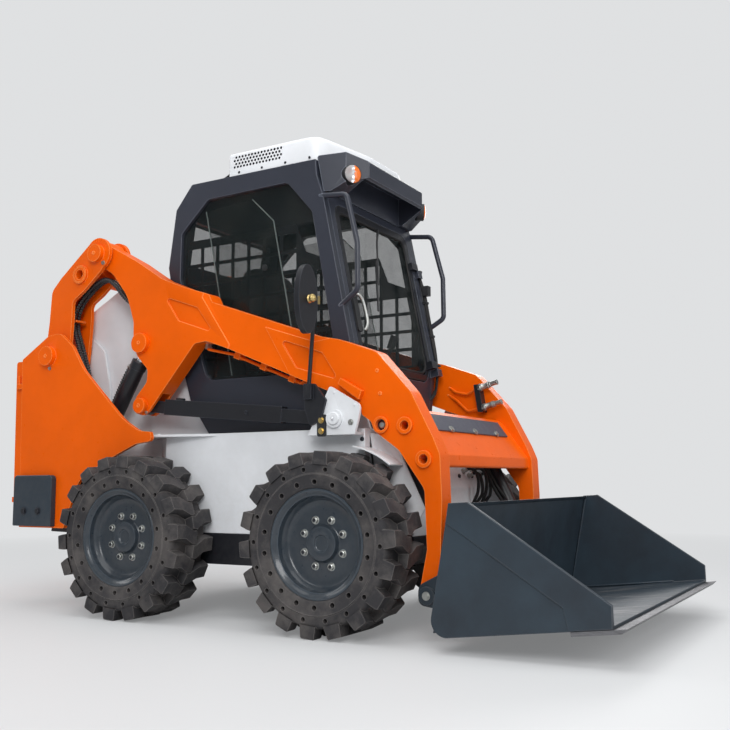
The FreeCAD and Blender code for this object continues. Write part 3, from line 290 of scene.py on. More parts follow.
def worn_bucket(name):
    """Dark bucket paint that is scoured on its floor and edges."""
    finish = Finish(name, coat_weight=0.08, coat_roughness=0.3, specular_ior_level=0.32)
    shade = colour(0.027, 0.042, 0.057)
    cloud = finish.noise(3.1, 6.0, 0.62)
    drag = finish.noise(9.0, 8.0, 0.7, finish.place(0.6, 5.0, 3.0))
    low = finish.spread(finish.height(), 0.30, 0.12)
    floor = finish.spread(finish.facing_up(), 0.75, 0.98) * low
    scour = finish.spread(drag + cloud * 0.5, 0.72, 0.9) * floor
    edge = finish.edges(0.005) * finish.spread(cloud, 0.35, 0.6) * 0.5
    bare = finish.node("ShaderNodeMath", 0, {"operation": "MAXIMUM"}, {0: scour, 1: edge})
    body = finish.mix(shade, colour(0.016, 0.022, 0.030), finish.spread(cloud, 0.35, 0.7))
    body = finish.mix(body, colour(0.26, 0.26, 0.27), bare * 0.8)
    return finish.end(
        base_color=body, metallic=bare * 0.7, roughness=finish.spread(cloud, 0.3, 0.7, 0.34, 0.5),
        normal=finish.bump(drag * floor + finish.noise(300.0, 2.0) * 0.3, 0.0008))


def glazing(name, shade, cover, rough=0.03):
    """Tinted glass: part of what is behind shows, and a film of dust lies on it."""
    finish = Finish(name, ior=1.45, specular_ior_level=0.4)
    smear = finish.noise(5.0, 6.0, 0.7)
    film = finish.spread(smear, 0.45, 0.75)
    return finish.end(
        base_color=finish.mix(shade, DUST, film * 0.06), roughness=film * 0.12 + rough,
        alpha=film * 0.06 + cover)


def vinyl(name):
    """Pebbled seat vinyl."""
    finish = Finish(name)
    pebble = finish.node(
        "ShaderNodeTexVoronoi", "Distance", {}, {"Vector": finish.place(), "Scale": 420.0})
    cloud = finish.noise(12.0, 4.0, 0.6)
    body = finish.mix(colour(0.018, 0.018, 0.02), colour(0.04, 0.04, 0.043), finish.spread(cloud, 0.4, 0.7))
    return finish.end(
        base_color=body, roughness=finish.spread(cloud, 0.3, 0.7, 0.42, 0.56),
        normal=finish.bump(pebble, 0.0002, 0.4))


# The rim colours given below are painted highlights on the paints' edges
ORANGE = paint(
    "orange_paint", colour(0.86, 0.118, 0.0015), 0.26, 0.04, dust=0.03, rim=colour(1.0, 0.42, 0.13),
    level=0.2, tint=colour(1.0, 0.62, 0.25))
WHITE = paint("white_paint", colour(0.76, 0.78, 0.81), 0.34, 0.08, dust=0.2, level=0.22)
SLATE = paint(
    "slate_paint", colour(0.028, 0.032, 0.046), 0.30, 0.12, dust=0.03, rim=colour(0.16, 0.18, 0.225))
BLACK = paint(
    "black_paint", colour(0.011, 0.012, 0.016), 0.34, 0.1, dust=0.03, rim=colour(0.05, 0.055, 0.07))
WEIGHT = paint("weight_paint", colour(0.026, 0.038, 0.052), 0.46, 0.05, dust=0.08, wave=1.4)
PLATE_GREY = paint("plate_grey", colour(0.066, 0.068, 0.092), 0.42, 0.05, dust=0.06)
RIM_PAINT = paint(
    "rim_paint", colour(0.026, 0.036, 0.048), 0.26, 0.35, dust=0.05, rim=colour(0.10, 0.13, 0.16))
SLEEVE = plastic("ribbed_sleeve", colour(0.020, 0.020, 0.022), 0.28)
TYRE = rubber("tyre_rubber", colour(0.034, 0.033, 0.036), 0.75)
HOSE = rubber("hose_rubber", colour(0.012, 0.012, 0.013), 0.12, 0.55)
BUCKET = worn_bucket("bucket_paint")
EDGE_STEEL = metal("edge_steel", colour(0.20, 0.20, 0.21), 0.42, 0.7, 0.85)
CHROME = metal("chrome", colour(0.82, 0.82, 0.84), 0.07, 0.2)
ZINC = metal("zinc", colour(0.46, 0.47, 0.45), 0.32, 0.2)
YELLOW_ZINC = metal("yellow_zinc", colour(0.62, 0.47, 0.20), 0.28, 0.2)
IRON = metal("engine_iron", colour(0.09, 0.09, 0.095), 0.55, 0.1, 0.6)
BLACK_PLASTIC = plastic("black_plastic", colour(0.012, 0.013, 0.015), 0.5)
GLASS = glazing("window_glass", colour(0.008, 0.014, 0.014), 0.26)
GLASS_EDGE = glazing("glass_edge", colour(0.42, 0.50, 0.48), 0.85, 0.12)
LAMP_GLASS = glazing("lamp_glass", colour(0.75, 0.77, 0.78), 0.34)
AMBER = glazing("amber_lens", colour(0.80, 0.16, 0.008), 0.9, 0.08)
RED = glazing("red_lens", colour(0.50, 0.01, 0.008), 0.92, 0.08)
VINYL = vinyl("seat_vinyl")


# Making pieces

SIDES = (1, -1)
# Metres within which two points are one
MERGE = 0.00001


def outwards(side):
    """The direction away from the machine's middle."""
    return Vector((0, side, 0))


def joined(mesh):
    """Merges the points that lie on each other and turns the faces outwards."""
    bmesh.ops.remove_doubles(mesh, verts=mesh.verts, dist=MERGE)
    bmesh.ops.recalc_face_normals(mesh, faces=mesh.faces)


def take_in(mesh, other):
    """Moves one bmesh into another."""
    scrap = bpy.data.meshes.new("scrap")
    other.to_mesh(scrap)
    other.free()
    mesh.from_mesh(scrap)
    bpy.data.meshes.remove(scrap)


def new_piece(name, mesh, finishes, body, smooth=35.0):
    """A piece from a bmesh: its finishes, the body it rides on and the angle up to which it is shaded smooth.
    """
    data = bpy.data.meshes.new(name)
    joined(mesh)
    mesh.to_mesh(data)
    mesh.free()
    for finish in finishes:
        data.materials.append(finish)
    piece = linked(name, data)
    shade(piece, smooth)
    if body:
        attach(piece, body)
    return piece


def shade(piece, angle):
    """Smooth shading up to an angle."""
    bpy.context.view_layer.objects.active = piece
    piece.select_set(True)
    bpy.ops.object.shade_smooth_by_angle(angle=math.radians(angle))
    piece.select_set(False)


def apply(piece):
    """Turns a piece's modifiers into its mesh."""
    graph = bpy.context.evaluated_depsgraph_get()
    made = bpy.data.meshes.new_from_object(piece.evaluated_get(graph))
    old = piece.data
    piece.modifiers.clear()
    piece.data = made
    made.name = old.name
    bpy.data.meshes.remove(old)


def rounded(piece, width, angle=30.0):
    """Rounds a piece's edges that turn by more than an angle. The width is in millimetres."""
    bevel = piece.modifiers.new("edges", "BEVEL")
    bevel.width = width / 1000
    bevel.segments = 2
    bevel.limit_method = "ANGLE"
    bevel.angle_limit = math.radians(angle)
    bevel.harden_normals = True
    apply(piece)


def drilled(piece, plugs, finishes=()):
    """Cuts a bmesh of plugs out of a piece."""
    joined(plugs)
    data = bpy.data.meshes.new("plugs")
    plugs.to_mesh(data)
    plugs.free()
    for finish in finishes:
        data.materials.append(finish)
    cutter = linked("plugs", data)
    holes = piece.modifiers.new("holes", "BOOLEAN")
    holes.operation = "DIFFERENCE"
    holes.solver = "EXACT"
    holes.object = cutter
    apply(piece)
    bpy.data.objects.remove(cutter)


# The least turn of a packed plate's edge that gets rounded, in degrees
PLATE_ANGLE = 28.0


def softened(node, finish, width):
    """A copy of a packed plate with its edges rounded, in place of the sharp one."""
    source = frame["nodes"][node]
    mesh = bmesh.new()
    mesh.from_mesh(source.data)
    bmesh.ops.remove_doubles(mesh, verts=mesh.verts, dist=MERGE * 2)
    bmesh.ops.dissolve_limit(mesh, angle_limit=math.radians(1.0), verts=mesh.verts, edges=mesh.edges)
    piece = new_piece("dressed_" + node, mesh, [finish], source["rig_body"])
    rounded(piece, width, PLATE_ANGLE)
    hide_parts(node)


def lathe(mesh, profile, count):
    """Turns (radius, y) points about the wheel's axis."""
    rings = []
    for index in range(count):
        turn = math.radians(360.0 * index / count)
        rings.append([mesh.verts.new((r * math.sin(turn) / 1000, y / 1000, r * math.cos(turn) / 1000))
                      for r, y in profile])
    for index in range(count):
        here = rings[index]
        after = rings[(index + 1) % count]
        for point in range(len(profile) - 1):
            mesh.faces.new([here[point], here[point + 1], after[point + 1], after[point]])


def prism(mesh, outline, place, low, high, finish=0):
    """A straight block from a flat outline; place turns (a, b, depth) into a point."""
    bottom = [mesh.verts.new(place(a, b, low)) for a, b in outline]
    top = [mesh.verts.new(place(a, b, high)) for a, b in outline]
    made = [mesh.faces.new(bottom[::-1]), mesh.faces.new(top)]
    for index in range(len(outline)):
        after = (index + 1) % len(outline)
        made.append(mesh.faces.new([bottom[index], bottom[after], top[after], top[index]]))
    for face in made:
        face.material_index = finish


def circle(radius, count):
    """A regular outline of (a, b) points."""
    turns = [2 * math.pi * k / count for k in range(count)]
    return [(radius * math.cos(turn), radius * math.sin(turn)) for turn in turns]


def hexagon(radius):
    return circle(radius, 6)


def facing(centre, outward):
    """Turns (a, b, depth) in millimetres into a point, with the depth outwards from a centre."""
    turn = Vector((0, 0, 1)).rotation_difference(outward.normalized()).to_matrix()
    return lambda a, b, depth: centre + turn @ (Vector((a, b, depth)) / 1000)


# Widths and heights of a washer and a bolt's head, as shares of the bolt's own radius
WASHER_WIDTH = 1.45
WASHER_TOP = 0.22
HEAD_WIDTH = 1.12
HEAD_FOOT = 0.2


def bolt(mesh, centre, outward, radius, height, finish=0):
    """A hexagon head on a washer."""
    place = facing(centre, outward)
    prism(mesh, circle(radius * WASHER_WIDTH, 20), place, -1, radius * WASHER_TOP, finish)
    prism(mesh, hexagon(radius * HEAD_WIDTH), place, radius * HEAD_FOOT, height, finish)


# Wheels, modelled about their own centre with the outer side towards +Y

TYRE_TIP = 380.0
TYRE_ROOT = 338.0
TYRE_HALF = 125.0
LUGS = 18
# Half of the tyre's section as (radius, y), from its bead to the middle of the tread
tyre_section = (
    (226.5, 96), (226.5, 107), (229, 111), (236, 113.5), (246, 116), (281, 119), (284, 120.5),
    (287, 119.5), (289, 117), (322, 118), (329, 115), (334, 108), (TYRE_ROOT, 96), (TYRE_ROOT, 60),
    (TYRE_ROOT, 0))
# The rows of holes in the tyre's sides: radius, hole's radius, share of a pitch by which the row is turned
tyre_holes = ((253, 11.0, 0.0), (306, 10.0, 0.5))
HOLE_FLOOR = 84.0
HOLE_MOUTH = 134.0
# A lug's sections from its foot to its worn top: radius and spread of the outline
lug_levels = ((TYRE_ROOT - 12, 11), (TYRE_ROOT + 6, 8), (TYRE_TIP - 5, 1), (TYRE_TIP, -3))
# How far the two rows of lugs are turned either way, and the tie bars with them, in lug pitches
LUG_STAGGER = 0.25
TIE_BAR_PHASE = 0.62
TIE_BAR_TOP = 356.0
tie_bar_outline = ((-30, -9), (30, -9), (30, 9), (-30, 9))
# The lugs' moulded edges: width in metres and the least turn that gets one, in degrees
LUG_EDGE = 0.0035
LUG_EDGE_ANGLE = 35


def lug_outline(side, spread):
    """The lug's plan as (length along the tread, y) points, spread at its foot."""
    shoulder = side * (TYRE_HALF - 4 + spread * 0.25)
    inner = side * (-12 - spread * 0.5)
    return [
        (-33 - spread, shoulder), (31 + spread, shoulder), (35 + spread, side * 66), (64 + spread, side * 14),
        (58 + spread * 0.6, inner), (0 - spread * 0.6, inner), (-4 - spread, side * 14),
        (-31 - spread, side * 60)]


def on_tread(turn):
    """Turns (length along the tread, y, radius) into a point of the wheel."""
    def place(s, y, r):
        angle = turn + s / TYRE_TIP
        return Vector((r * math.sin(angle) / 1000, y / 1000, r * math.cos(angle) / 1000))
    return place


def add_lug(mesh, side, turn):
    """One lug: walls from section to section, and a top of three quads over its bent outline."""
    place = on_tread(turn)
    levels = []
    for radius, spread in lug_levels:
        levels.append([mesh.verts.new(place(s, y, radius)) for s, y in lug_outline(side, spread)])
    count = len(levels[0])
    for low, high in zip(levels, levels[1:]):
        for index in range(count):
            after = (index + 1) % count
            quad = [low[index], low[after], high[after], high[index]]
            mesh.faces.new(quad if side < 0 else quad[::-1])
    top = levels[-1]
    for quad in ((0, 1, 2, 7), (7, 2, 3, 6), (6, 3, 4, 5)):
        corners = [top[index] for index in quad]
        mesh.faces.new(corners if side < 0 else corners[::-1])


def holed_carcass():
    """The tyre without its lugs, with two rows of holes in each side."""
    body = bmesh.new()
    section = list(tyre_section) + [(r, -y) for r, y in tyre_section[-2::-1]]
    section.append(section[0])
    lathe(body, section, 144)
    bmesh.ops.recalc_face_normals(body, faces=body.faces)
    data = bpy.data.meshes.new("carcass")
    body.to_mesh(data)
    body.free()
    carcass = linked("carcass", data)
    plugs = bmesh.new()
    for side in SIDES:
        for radius, size, phase in tyre_holes:
            for index in range(LUGS):
                angle = 2 * math.pi * (index + phase) / LUGS
                x = radius * math.sin(angle)
                z = radius * math.cos(angle)
                prism(plugs, circle(size, 14), lambda a, b, y: Vector((x + a, y, z + b)) / 1000,
                      side * HOLE_FLOOR, side * HOLE_MOUTH)
    drilled(carcass, plugs)
    mesh = bmesh.new()
    mesh.from_mesh(carcass.data)
    bpy.data.objects.remove(carcass)
    return mesh


def tyre_mesh():
    """The carcass, its lugs in two rows and the bars that tie them together."""
    mesh = holed_carcass()
    lugs = bmesh.new()
    for side in SIDES:
        for index in range(LUGS):
            add_lug(lugs, side, 2 * math.pi * (index + LUG_STAGGER * side) / LUGS)
    sharp = math.radians(LUG_EDGE_ANGLE)
    bevelled = [edge for edge in lugs.edges if edge.calc_face_angle(0) > sharp]
    bmesh.ops.bevel(lugs, geom=bevelled, offset=LUG_EDGE, segments=2, profile=0.6, affect="EDGES",
                    clamp_overlap=True)
    for index in range(LUGS):
        turn = 2 * math.pi * (index + TIE_BAR_PHASE) / LUGS
        prism(lugs, tie_bar_outline, on_tread(turn), TYRE_ROOT - 8, TIE_BAR_TOP)
    bmesh.ops.recalc_face_normals(lugs, faces=lugs.faces)
    take_in(mesh, lugs)
    return mesh


WHEEL_BOLTS = 8
BOLT_CIRCLE_RADIUS = 101.6
DISH_Y = 44.0
NUT_RADIUS = 14.5
# A wheel nut's washer, its collar and its stud's end, as (radius, height) above the dish
nut_washer = ((17, -1), (17, 2.5), (15, 3.5), (13, 3.5))
nut_collar = ((12.5, 11), (12.5, 13.5), (10.5, 15), (8, 15))
stud_end = ((8, 15), (7.6, 12.4), (0, 12.4))
# The rim's section as (radius, y): the dish outside and the well behind it
rim_section = (
    (226, 94), (227.5, 98), (227.5, 104), (224, 107.5), (218, 108), (212, 105), (206, 99), (201, 95),
    (197, 93), (195, 88), (194, 74), (190, 68), (184, 62), (180, 54), (176, 49), (168, 45.5),
    (152, DISH_Y), (84, DISH_Y), (79, 46), (75, 51), (72, 62), (69, 66), (64, 68), (40, 69), (36, 67),
    (33, 62), (30, 60), (0, 60), (0, 30), (196, 30), (196, -93), (200, -96), (206, -100), (214, -105),
    (222, -107), (227, -103), (226, -94), (204.5, -92), (204.5, 92), (226, 94))
# The flange on the dish's inner side and the stub shaft, in the same way
axle_section = (
    (0, 31), (128, 31), (128, -4), (122, -6), (41, -6), (40, -8), (40, -138), (0, -139))


def rim_mesh():
    """The rim with its wheel nuts and studs, and the flange and stub shaft on its inner side."""
    mesh = bmesh.new()
    lathe(mesh, rim_section, 120)
    outward = outwards(1)
    for index in range(WHEEL_BOLTS):
        angle = 2 * math.pi * (index + 0.5) / WHEEL_BOLTS
        centre = Vector((
            BOLT_CIRCLE_RADIUS * math.cos(angle), DISH_Y, BOLT_CIRCLE_RADIUS * math.sin(angle))) / 1000
        turned(mesh, centre, outward, nut_washer, 24, 1)
        prism(mesh, hexagon(NUT_RADIUS), lambda a, b, h: centre + Vector((a, h, b)) / 1000, 2, 12, 1)
        turned(mesh, centre, outward, nut_collar, 24, 1)
        turned(mesh, centre, outward, stud_end, 20, 2)
    joined(mesh)
    axle = bmesh.new()
    lathe(axle, axle_section, 48)
    joined(axle)
    take_in(mesh, axle)
    return mesh


def placed(mesh, x, side):
    """A copy of a wheel's mesh at its corner of the machine."""
    copy = mesh.copy()
    if side < 0:
        bmesh.ops.scale(copy, vec=(1, -1, 1), verts=copy.verts)
        bmesh.ops.reverse_faces(copy, faces=copy.faces)
    bmesh.ops.translate(copy, vec=at(x, side * TRACK_HALF, AXLE_Z), verts=copy.verts)
    return copy


def make_wheels():
    """Four tyres and rims, each in its place and in its wheel's body."""
    tyre = tyre_mesh()
    rim = rim_mesh()
    for end, x in (("front", WHEELBASE), ("rear", 0.0)):
        for name, side in (("left", 1), ("right", -1)):
            corner = "%s_%s" % (end, name)
            body = "wheel_" + corner
            piece = new_piece(
                "tyre_%s_tread" % corner, placed(tyre, x, side), [TYRE], body, 40)
            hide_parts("tyre_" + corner)
            piece = new_piece(
                "rim_%s_dish" % corner, placed(rim, x, side), [RIM_PAINT, ZINC, BLACK], body, 30)
            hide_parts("rim_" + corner)


# Small parts

def turned(mesh, centre, outward, profile, count=24, finish=0):
    """Turns (radius, height) points about an axis that starts at a centre."""
    place = facing(centre, outward)
    rings = []
    for index in range(count):
        angle = 2 * math.pi * index / count
        rings.append([
            mesh.verts.new(place(r * math.cos(angle), r * math.sin(angle), h)) for r, h in profile])
    for index in range(count):
        here = rings[index]
        after = rings[(index + 1) % count]
        for point in range(len(profile) - 1):
            face = mesh.faces.new([here[point], after[point], after[point + 1], here[point + 1]])
            face.material_index = finish


def sweep(mesh, line, radii, count=12, finish=0, caps=True):
    """A tube along a line of points, with a radius at each."""
    normal = (line[1] - line[0]).orthogonal().normalized()
    rings = []
    for index, spot in enumerate(line):
        tangent = (line[min(index + 1, len(line) - 1)] - line[max(index - 1, 0)]).normalized()
        normal = (normal - tangent * normal.dot(tangent)).normalized()
        side = tangent.cross(normal)
        ring = []
        for step in range(count):
            angle = 2 * math.pi * step / count
            aside = normal * math.cos(angle) + side * math.sin(angle)
            ring.append(mesh.verts.new(spot + aside * radii[index]))
        rings.append(ring)
    made = []
    for here, after in zip(rings, rings[1:]):
        for step in range(count):
            beside = (step + 1) % count
            made.append(mesh.faces.new([here[step], here[beside], after[beside], after[step]]))
    if caps:
        made += [mesh.faces.new(rings[0][::-1]), mesh.faces.new(rings[-1])]
    for face in made:
        face.material_index = finish


def smooth_run(spots):
    """The smooth line that control points draw, both in metres."""
    curve = bpy.data.curves.new("line", "CURVE")
    curve.dimensions = "3D"
    curve.resolution_u = 24
    line = curve.splines.new("NURBS")
    line.points.add(len(spots) - 1)
    for point, spot in zip(line.points, spots):
        point.co = (*spot, 1.0)
    line.order_u = 3
    line.use_endpoint_u = True
    holder = bpy.data.objects.new("line", curve)
    made = bpy.data.meshes.new_from_object(holder)
    found = [vertex.co.copy() for vertex in made.vertices]
    bpy.data.objects.remove(holder)
    return found


def smooth_line(points):
    """The same from points in millimetres."""
    return smooth_run([at(*point) for point in points])


def evenly(line, step):
    """The same line with points a step apart."""
    spots = [line[0]]
    left = step
    for start, end in zip(line, line[1:]):
        length = (end - start).length
        gone = left
        while gone < length:
            spots.append(start.lerp(end, gone / length))
            gone += step
        left = gone - length
    return spots


# A sleeve's ribs in metres, and how deep it lies along one pitch
RIB_PITCH = 0.0145
RIB_DEPTH = 0.0045
rib_wave = (0.0, 0.45, 1.0, 0.45)


def ribbed_hose(mesh, points, radius):
    """A corrugated sleeve along a smooth line."""
    line = evenly(smooth_line(points), RIB_PITCH / len(rib_wave))
    radii = [radius / 1000 - RIB_DEPTH * rib_wave[index % len(rib_wave)] for index in range(len(line))]
    sweep(mesh, line, radii, 14)


def hose(mesh, points, radius):
    """A smooth hose or cable through control points."""
    line = smooth_line(points)
    sweep(mesh, line, [radius / 1000] * len(line))


def fitting(mesh, centre, outward, radius, finish=0):
    """A crimped sleeve and a hexagon nut at a hose's end, from the nut outwards."""
    prism(mesh, hexagon(radius * 1.5), facing(centre, outward), 0, radius * 1.5, finish)
    turned(mesh, centre, outward, [
        (0, radius * 1.5), (radius * 1.1, radius * 1.5), (radius * 1.1, radius * 1.9),
        (radius * 1.3, radius * 2.0), (radius * 1.3, radius * 3.4), (radius, radius * 3.6),
        (0, radius * 3.6)], 16, finish)


def upright_box(mesh, low, high, finish=0):
    """A box between two corners."""
    prism(mesh, [(low[0], low[1]), (high[0], low[1]), (high[0], high[1]), (low[0], high[1])], at,
          low[2], high[2], finish)


def side_box(mesh, low, high, side, finish=0):
    """A box given for the left side, or its mirror image on the right."""
    near, far = sorted((low[1] * side, high[1] * side))
    upright_box(mesh, (low[0], near, low[2]), (high[0], far, high[2]), finish)


def side_plate(mesh, outline, y_low, y_high, side):
    """A plate from an outline of (x, z) points, between two stations across the machine."""
    prism(mesh, outline, lambda a, b, y: at(a, y * side, b), y_low, y_high)


# Bolts: body, finish, x, y, z, outward direction, head's radius and height.
# Each is on both sides of the machine, unless it lies in its middle.
ZINC_HEAD, ORANGE_HEAD, BLACK_HEAD, WHITE_HEAD = range(4)
OUT = (0, 1, 0)
UP = (0, 0, 1)
FORWARDS = (1, 0, 0)
BACKWARDS = (-1, 0, 0)
PLATE_NORMAL = (0.806, 0, 0.591)
bolt_table = (
    ("chassis", BLACK_HEAD, -752, 694, 490, OUT, 13, 10),
    ("chassis", BLACK_HEAD, -648, 694, 490, OUT, 13, 10),
    ("chassis", ZINC_HEAD, -636, 660, 1226, OUT, 7, 7), ("chassis", ZINC_HEAD, 1168, 612, 884, OUT, 9, 8),
    ("chassis", WHITE_HEAD, 1084, 612, 1015, OUT, 5, 4), ("chassis", WHITE_HEAD, 1186, 612, 958, OUT, 5, 4),
    ("chassis", BLACK_HEAD, 1176, 530, 815, OUT, 7, 6),
    ("chassis", BLACK_HEAD, 1323, 300, 655, FORWARDS, 8, 7),
    ("chassis", BLACK_HEAD, 1323, 150, 655, FORWARDS, 8, 7),
    ("chassis", WHITE_HEAD, -60, 560, 862, UP, 8, 6), ("chassis", WHITE_HEAD, 40, 560, 862, UP, 8, 6),
    ("chassis", BLACK_HEAD, 0, 530, 455, OUT, 9, 7), ("chassis", BLACK_HEAD, 300, 530, 330, OUT, 9, 7),
    ("chassis", BLACK_HEAD, 550, 530, 330, OUT, 9, 7), ("chassis", BLACK_HEAD, 800, 530, 330, OUT, 9, 7),
    ("rear_link", ZINC_HEAD, -322, 612, 1762, OUT, 8, 8),
    ("boom", ORANGE_HEAD, 1281, 580, 1102, OUT, 6, 5), ("boom", ORANGE_HEAD, 1295, 580, 1003, OUT, 6, 5),
    ("boom", ZINC_HEAD, -30, 580, 977, OUT, 6, 5),
    ("boom", ZINC_HEAD, 1475.6, 260, 859.6, PLATE_NORMAL, 12, 8),
    ("boom", ZINC_HEAD, 1475.6, 0, 859.6, PLATE_NORMAL, 12, 8),
    ("control_link_pair", BLACK_HEAD, 571, 559, 953, OUT, 7, 6),
    ("bucket_body", ZINC_HEAD, 1515, 611, 178, OUT, 12, 9),
    ("tail_door_body", BLACK_HEAD, -914, 560, 520, BACKWARDS, 8, 6),
    ("tail_door_body", BLACK_HEAD, -926, 560, 1160, BACKWARDS, 8, 6))


def make_bolts():
    """One piece of bolts for each body that has some."""
    for body in sorted({row[0] for row in bolt_table}):
        mesh = bmesh.new()
        for owner, finish, x, y, z, outward, radius, height in bolt_table:
            if owner == body:
                for side in SIDES[:2 if y else 1]:
                    direction = Vector((outward[0], outward[1] * side, outward[2]))
                    bolt(mesh, at(x, y * side, z), direction, radius, height, finish)
        new_piece("bolts_" + body, mesh, [ZINC, ORANGE, BLACK, WHITE], body, 30)


# Marks in the middle of the pins' heads: body, x, z, face's station
pin_table = (
    ("chassis", -643, 1290, 688), ("rear_link", -364, 1814, 640), ("boom", -68, 1324, 608),
    ("boom", -58, 1010, 608))


def make_pin_marks():
    """The marks of the turning centre on the pins, and the caps of the link brackets' pins."""
    for body in sorted({row[0] for row in pin_table}):
        mesh = bmesh.new()
        for owner, x, z, y in pin_table:
            if owner == body:
                for side in SIDES:
                    turned(mesh, at(x, y * side, z), outwards(side), [
                        (11, -1), (11, 1.2), (9.5, 2), (7, 2), (5.5, 0.4), (0, 0.4)])
        new_piece("pin_marks_" + body, mesh, [ORANGE], body)
    mesh = bmesh.new()
    for side in SIDES:
        turned(mesh, at(1088, 622 * side, 902), outwards(side), [
            (28, -1), (28, 5), (25, 8), (12, 8), (12, 6), (7, 6), (7, 13), (4, 16), (0, 16)])
    new_piece("bracket_pin_caps", mesh, [WHITE], "chassis")


# Cab

KNEE = Vector((1068.0, 1264.0))
FRONT_UP = Vector((-143.0, 698.0)).normalized()
FRONT_DOWN = Vector((-15.0, -114.0)).normalized()
FRONT_OUT = Vector((FRONT_UP.y, -FRONT_UP.x))


def front_point(y, height, out=0.0):
    """A point on the cab's front, with its height along the slope from the knee."""
    if height >= 0:
        spot = KNEE + FRONT_UP * height + FRONT_OUT * out
    else:
        spot = KNEE - FRONT_DOWN * height + Vector((out, 0))
    return at(spot.x, y, spot.y)


def rounded_corners(low_a, low_b, high_a, high_b, radius, steps=6):
    """A rectangle with round corners, as (a, b) points."""
    corners = ((high_a - radius, high_b - radius, 0), (low_a + radius, high_b - radius, 90),
               (low_a + radius, low_b + radius, 180), (high_a - radius, low_b + radius, 270))
    points = []
    for a, b, start in corners:
        for step in range(steps + 1):
            angle = math.radians(start + 90 * step / steps)
            points.append((a + radius * math.cos(angle), b + radius * math.sin(angle)))
    return points


def outer_edge(node, station):
    """The outline of a pane at its outer face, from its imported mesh, in order round its middle."""
    spots = [v.co.copy() for v in frame["nodes"][node].data.vertices if abs(v.co.y - station / 1000) < 0.0004]
    middle = sum(spots, Vector()) / len(spots)
    spots.sort(key=lambda spot: math.atan2(spot.z - middle.z, spot.x - middle.x))
    return spots


def loop(mesh, spots, radius):
    """A closed tube along points."""
    line = spots + spots[:2]
    sweep(mesh, line, [radius / 1000] * len(line), 8, caps=False)


# Seals: the side glass's outer face, the rear pane, which leans back as it rises, and the door
GLASS_STATION = 432.0
REAR_PANE = (-330.0, 1762.0, 330.0, 1988.0)
REAR_FOOT_Z = 1728.0
REAR_FOOT_X = -22.0
REAR_SLOPE = (44, 300)
DOOR_PANE = (-336.0, -76.0, 336.0, 664.0)
DOOR_EDGE = (-369.0, -111.0, 369.0, 697.0)
SEAL_RADIUS = 7.5


def make_seals():
    """Rubber round the side, rear and door glass, and round the door."""
    mesh = bmesh.new()
    edge = outer_edge("side_glass", GLASS_STATION)
    for side in SIDES:
        loop(mesh, [Vector((v.x, v.y * side, v.z)) for v in edge], SEAL_RADIUS)
    run, rise = REAR_SLOPE
    rear = rounded_corners(*REAR_PANE, 12)
    loop(mesh, [at(REAR_FOOT_X + (z - REAR_FOOT_Z) * run / rise - 8, y, z) for y, z in rear], 6.5)
    new_piece("window_seals", mesh, [HOSE], "chassis", 50)
    mesh = bmesh.new()
    pane = rounded_corners(*DOOR_PANE, 40)
    loop(mesh, [front_point(y, height, -7.0) for y, height in pane], SEAL_RADIUS)
    outer = rounded_corners(*DOOR_EDGE, 62)
    loop(mesh, [front_point(y, height, -5.0) for y, height in outer], 5.5)
    new_piece("door_seals", mesh, [HOSE], "door_body", 50)


# The sliding pane's corners as (x, z), and those of them between which its polished edges show
slider_outline = ((197, 2002), (490, 2019), (618, 1894), (698, 1499), (765, 1150), (375, 1150))
slider_edges = ((0, 5), (2, 3), (3, 4), (1, 2))
SLIDER_INNER = 416.0
SLIDER_OUTER = 421.0


def make_sliding_panes():
    """The sliding pane inside each side window, with its edges, its knob and its catch."""
    mesh = bmesh.new()
    for side in SIDES:
        side_plate(mesh, slider_outline, SLIDER_INNER, SLIDER_OUTER, side)
    new_piece("sliding_panes", mesh, [GLASS], "chassis", 20)
    mesh = bmesh.new()
    for side in SIDES:
        for corners in slider_edges:
            middle = (SLIDER_INNER + SLIDER_OUTER) / 2 * side
            line = [at(slider_outline[k][0], middle, slider_outline[k][1]) for k in corners]
            sweep(mesh, line, [0.0034] * 2, 6)
        turned(mesh, at(574, SLIDER_OUTER * side, 1664), outwards(side), [
            (9, 0), (9, 3), (15, 4), (16, 6), (16, 9.5), (14, 10.4), (0, 10.4)], 24, 1)
        upright_box(mesh, (556, 410 * side, 1640), (592, 415 * side, 1690), 1)
    new_piece("sliding_pane_edges", mesh, [GLASS_EDGE, BLACK_PLASTIC], "chassis", 30)


def make_door_fittings():
    """The door's lever on its backplate, and the wiper with its blade."""
    mesh = bmesh.new()
    lever = [front_point(-345, 232, 6), front_point(-345, 234, 26), front_point(-338, 224, 34),
             front_point(-322, 200, 36), front_point(-312, 120, 36), front_point(-312, 78, 30),
             front_point(-318, 66, 16)]
    grip = smooth_run(lever)
    sweep(mesh, grip, [0.008] * len(grip), 12, 1)
    prism(mesh, rounded_corners(-362, 56, -322, 258, 14), front_point, 0, 9)
    wiper = [front_point(0, 640, 6), front_point(0, 640, 26), front_point(-40, 560, 26),
             front_point(-90, 330, 16)]
    sweep(mesh, wiper, [0.007, 0.007, 0.005, 0.004], 8)
    blade = [front_point(-52, 470, 7), front_point(-90, 330, 8), front_point(-128, 190, 7)]
    sweep(mesh, blade, [0.005, 0.007, 0.005], 6)
    new_piece("door_handle_and_wiper", mesh, [BLACK_PLASTIC, ZINC], "door_body", 40)


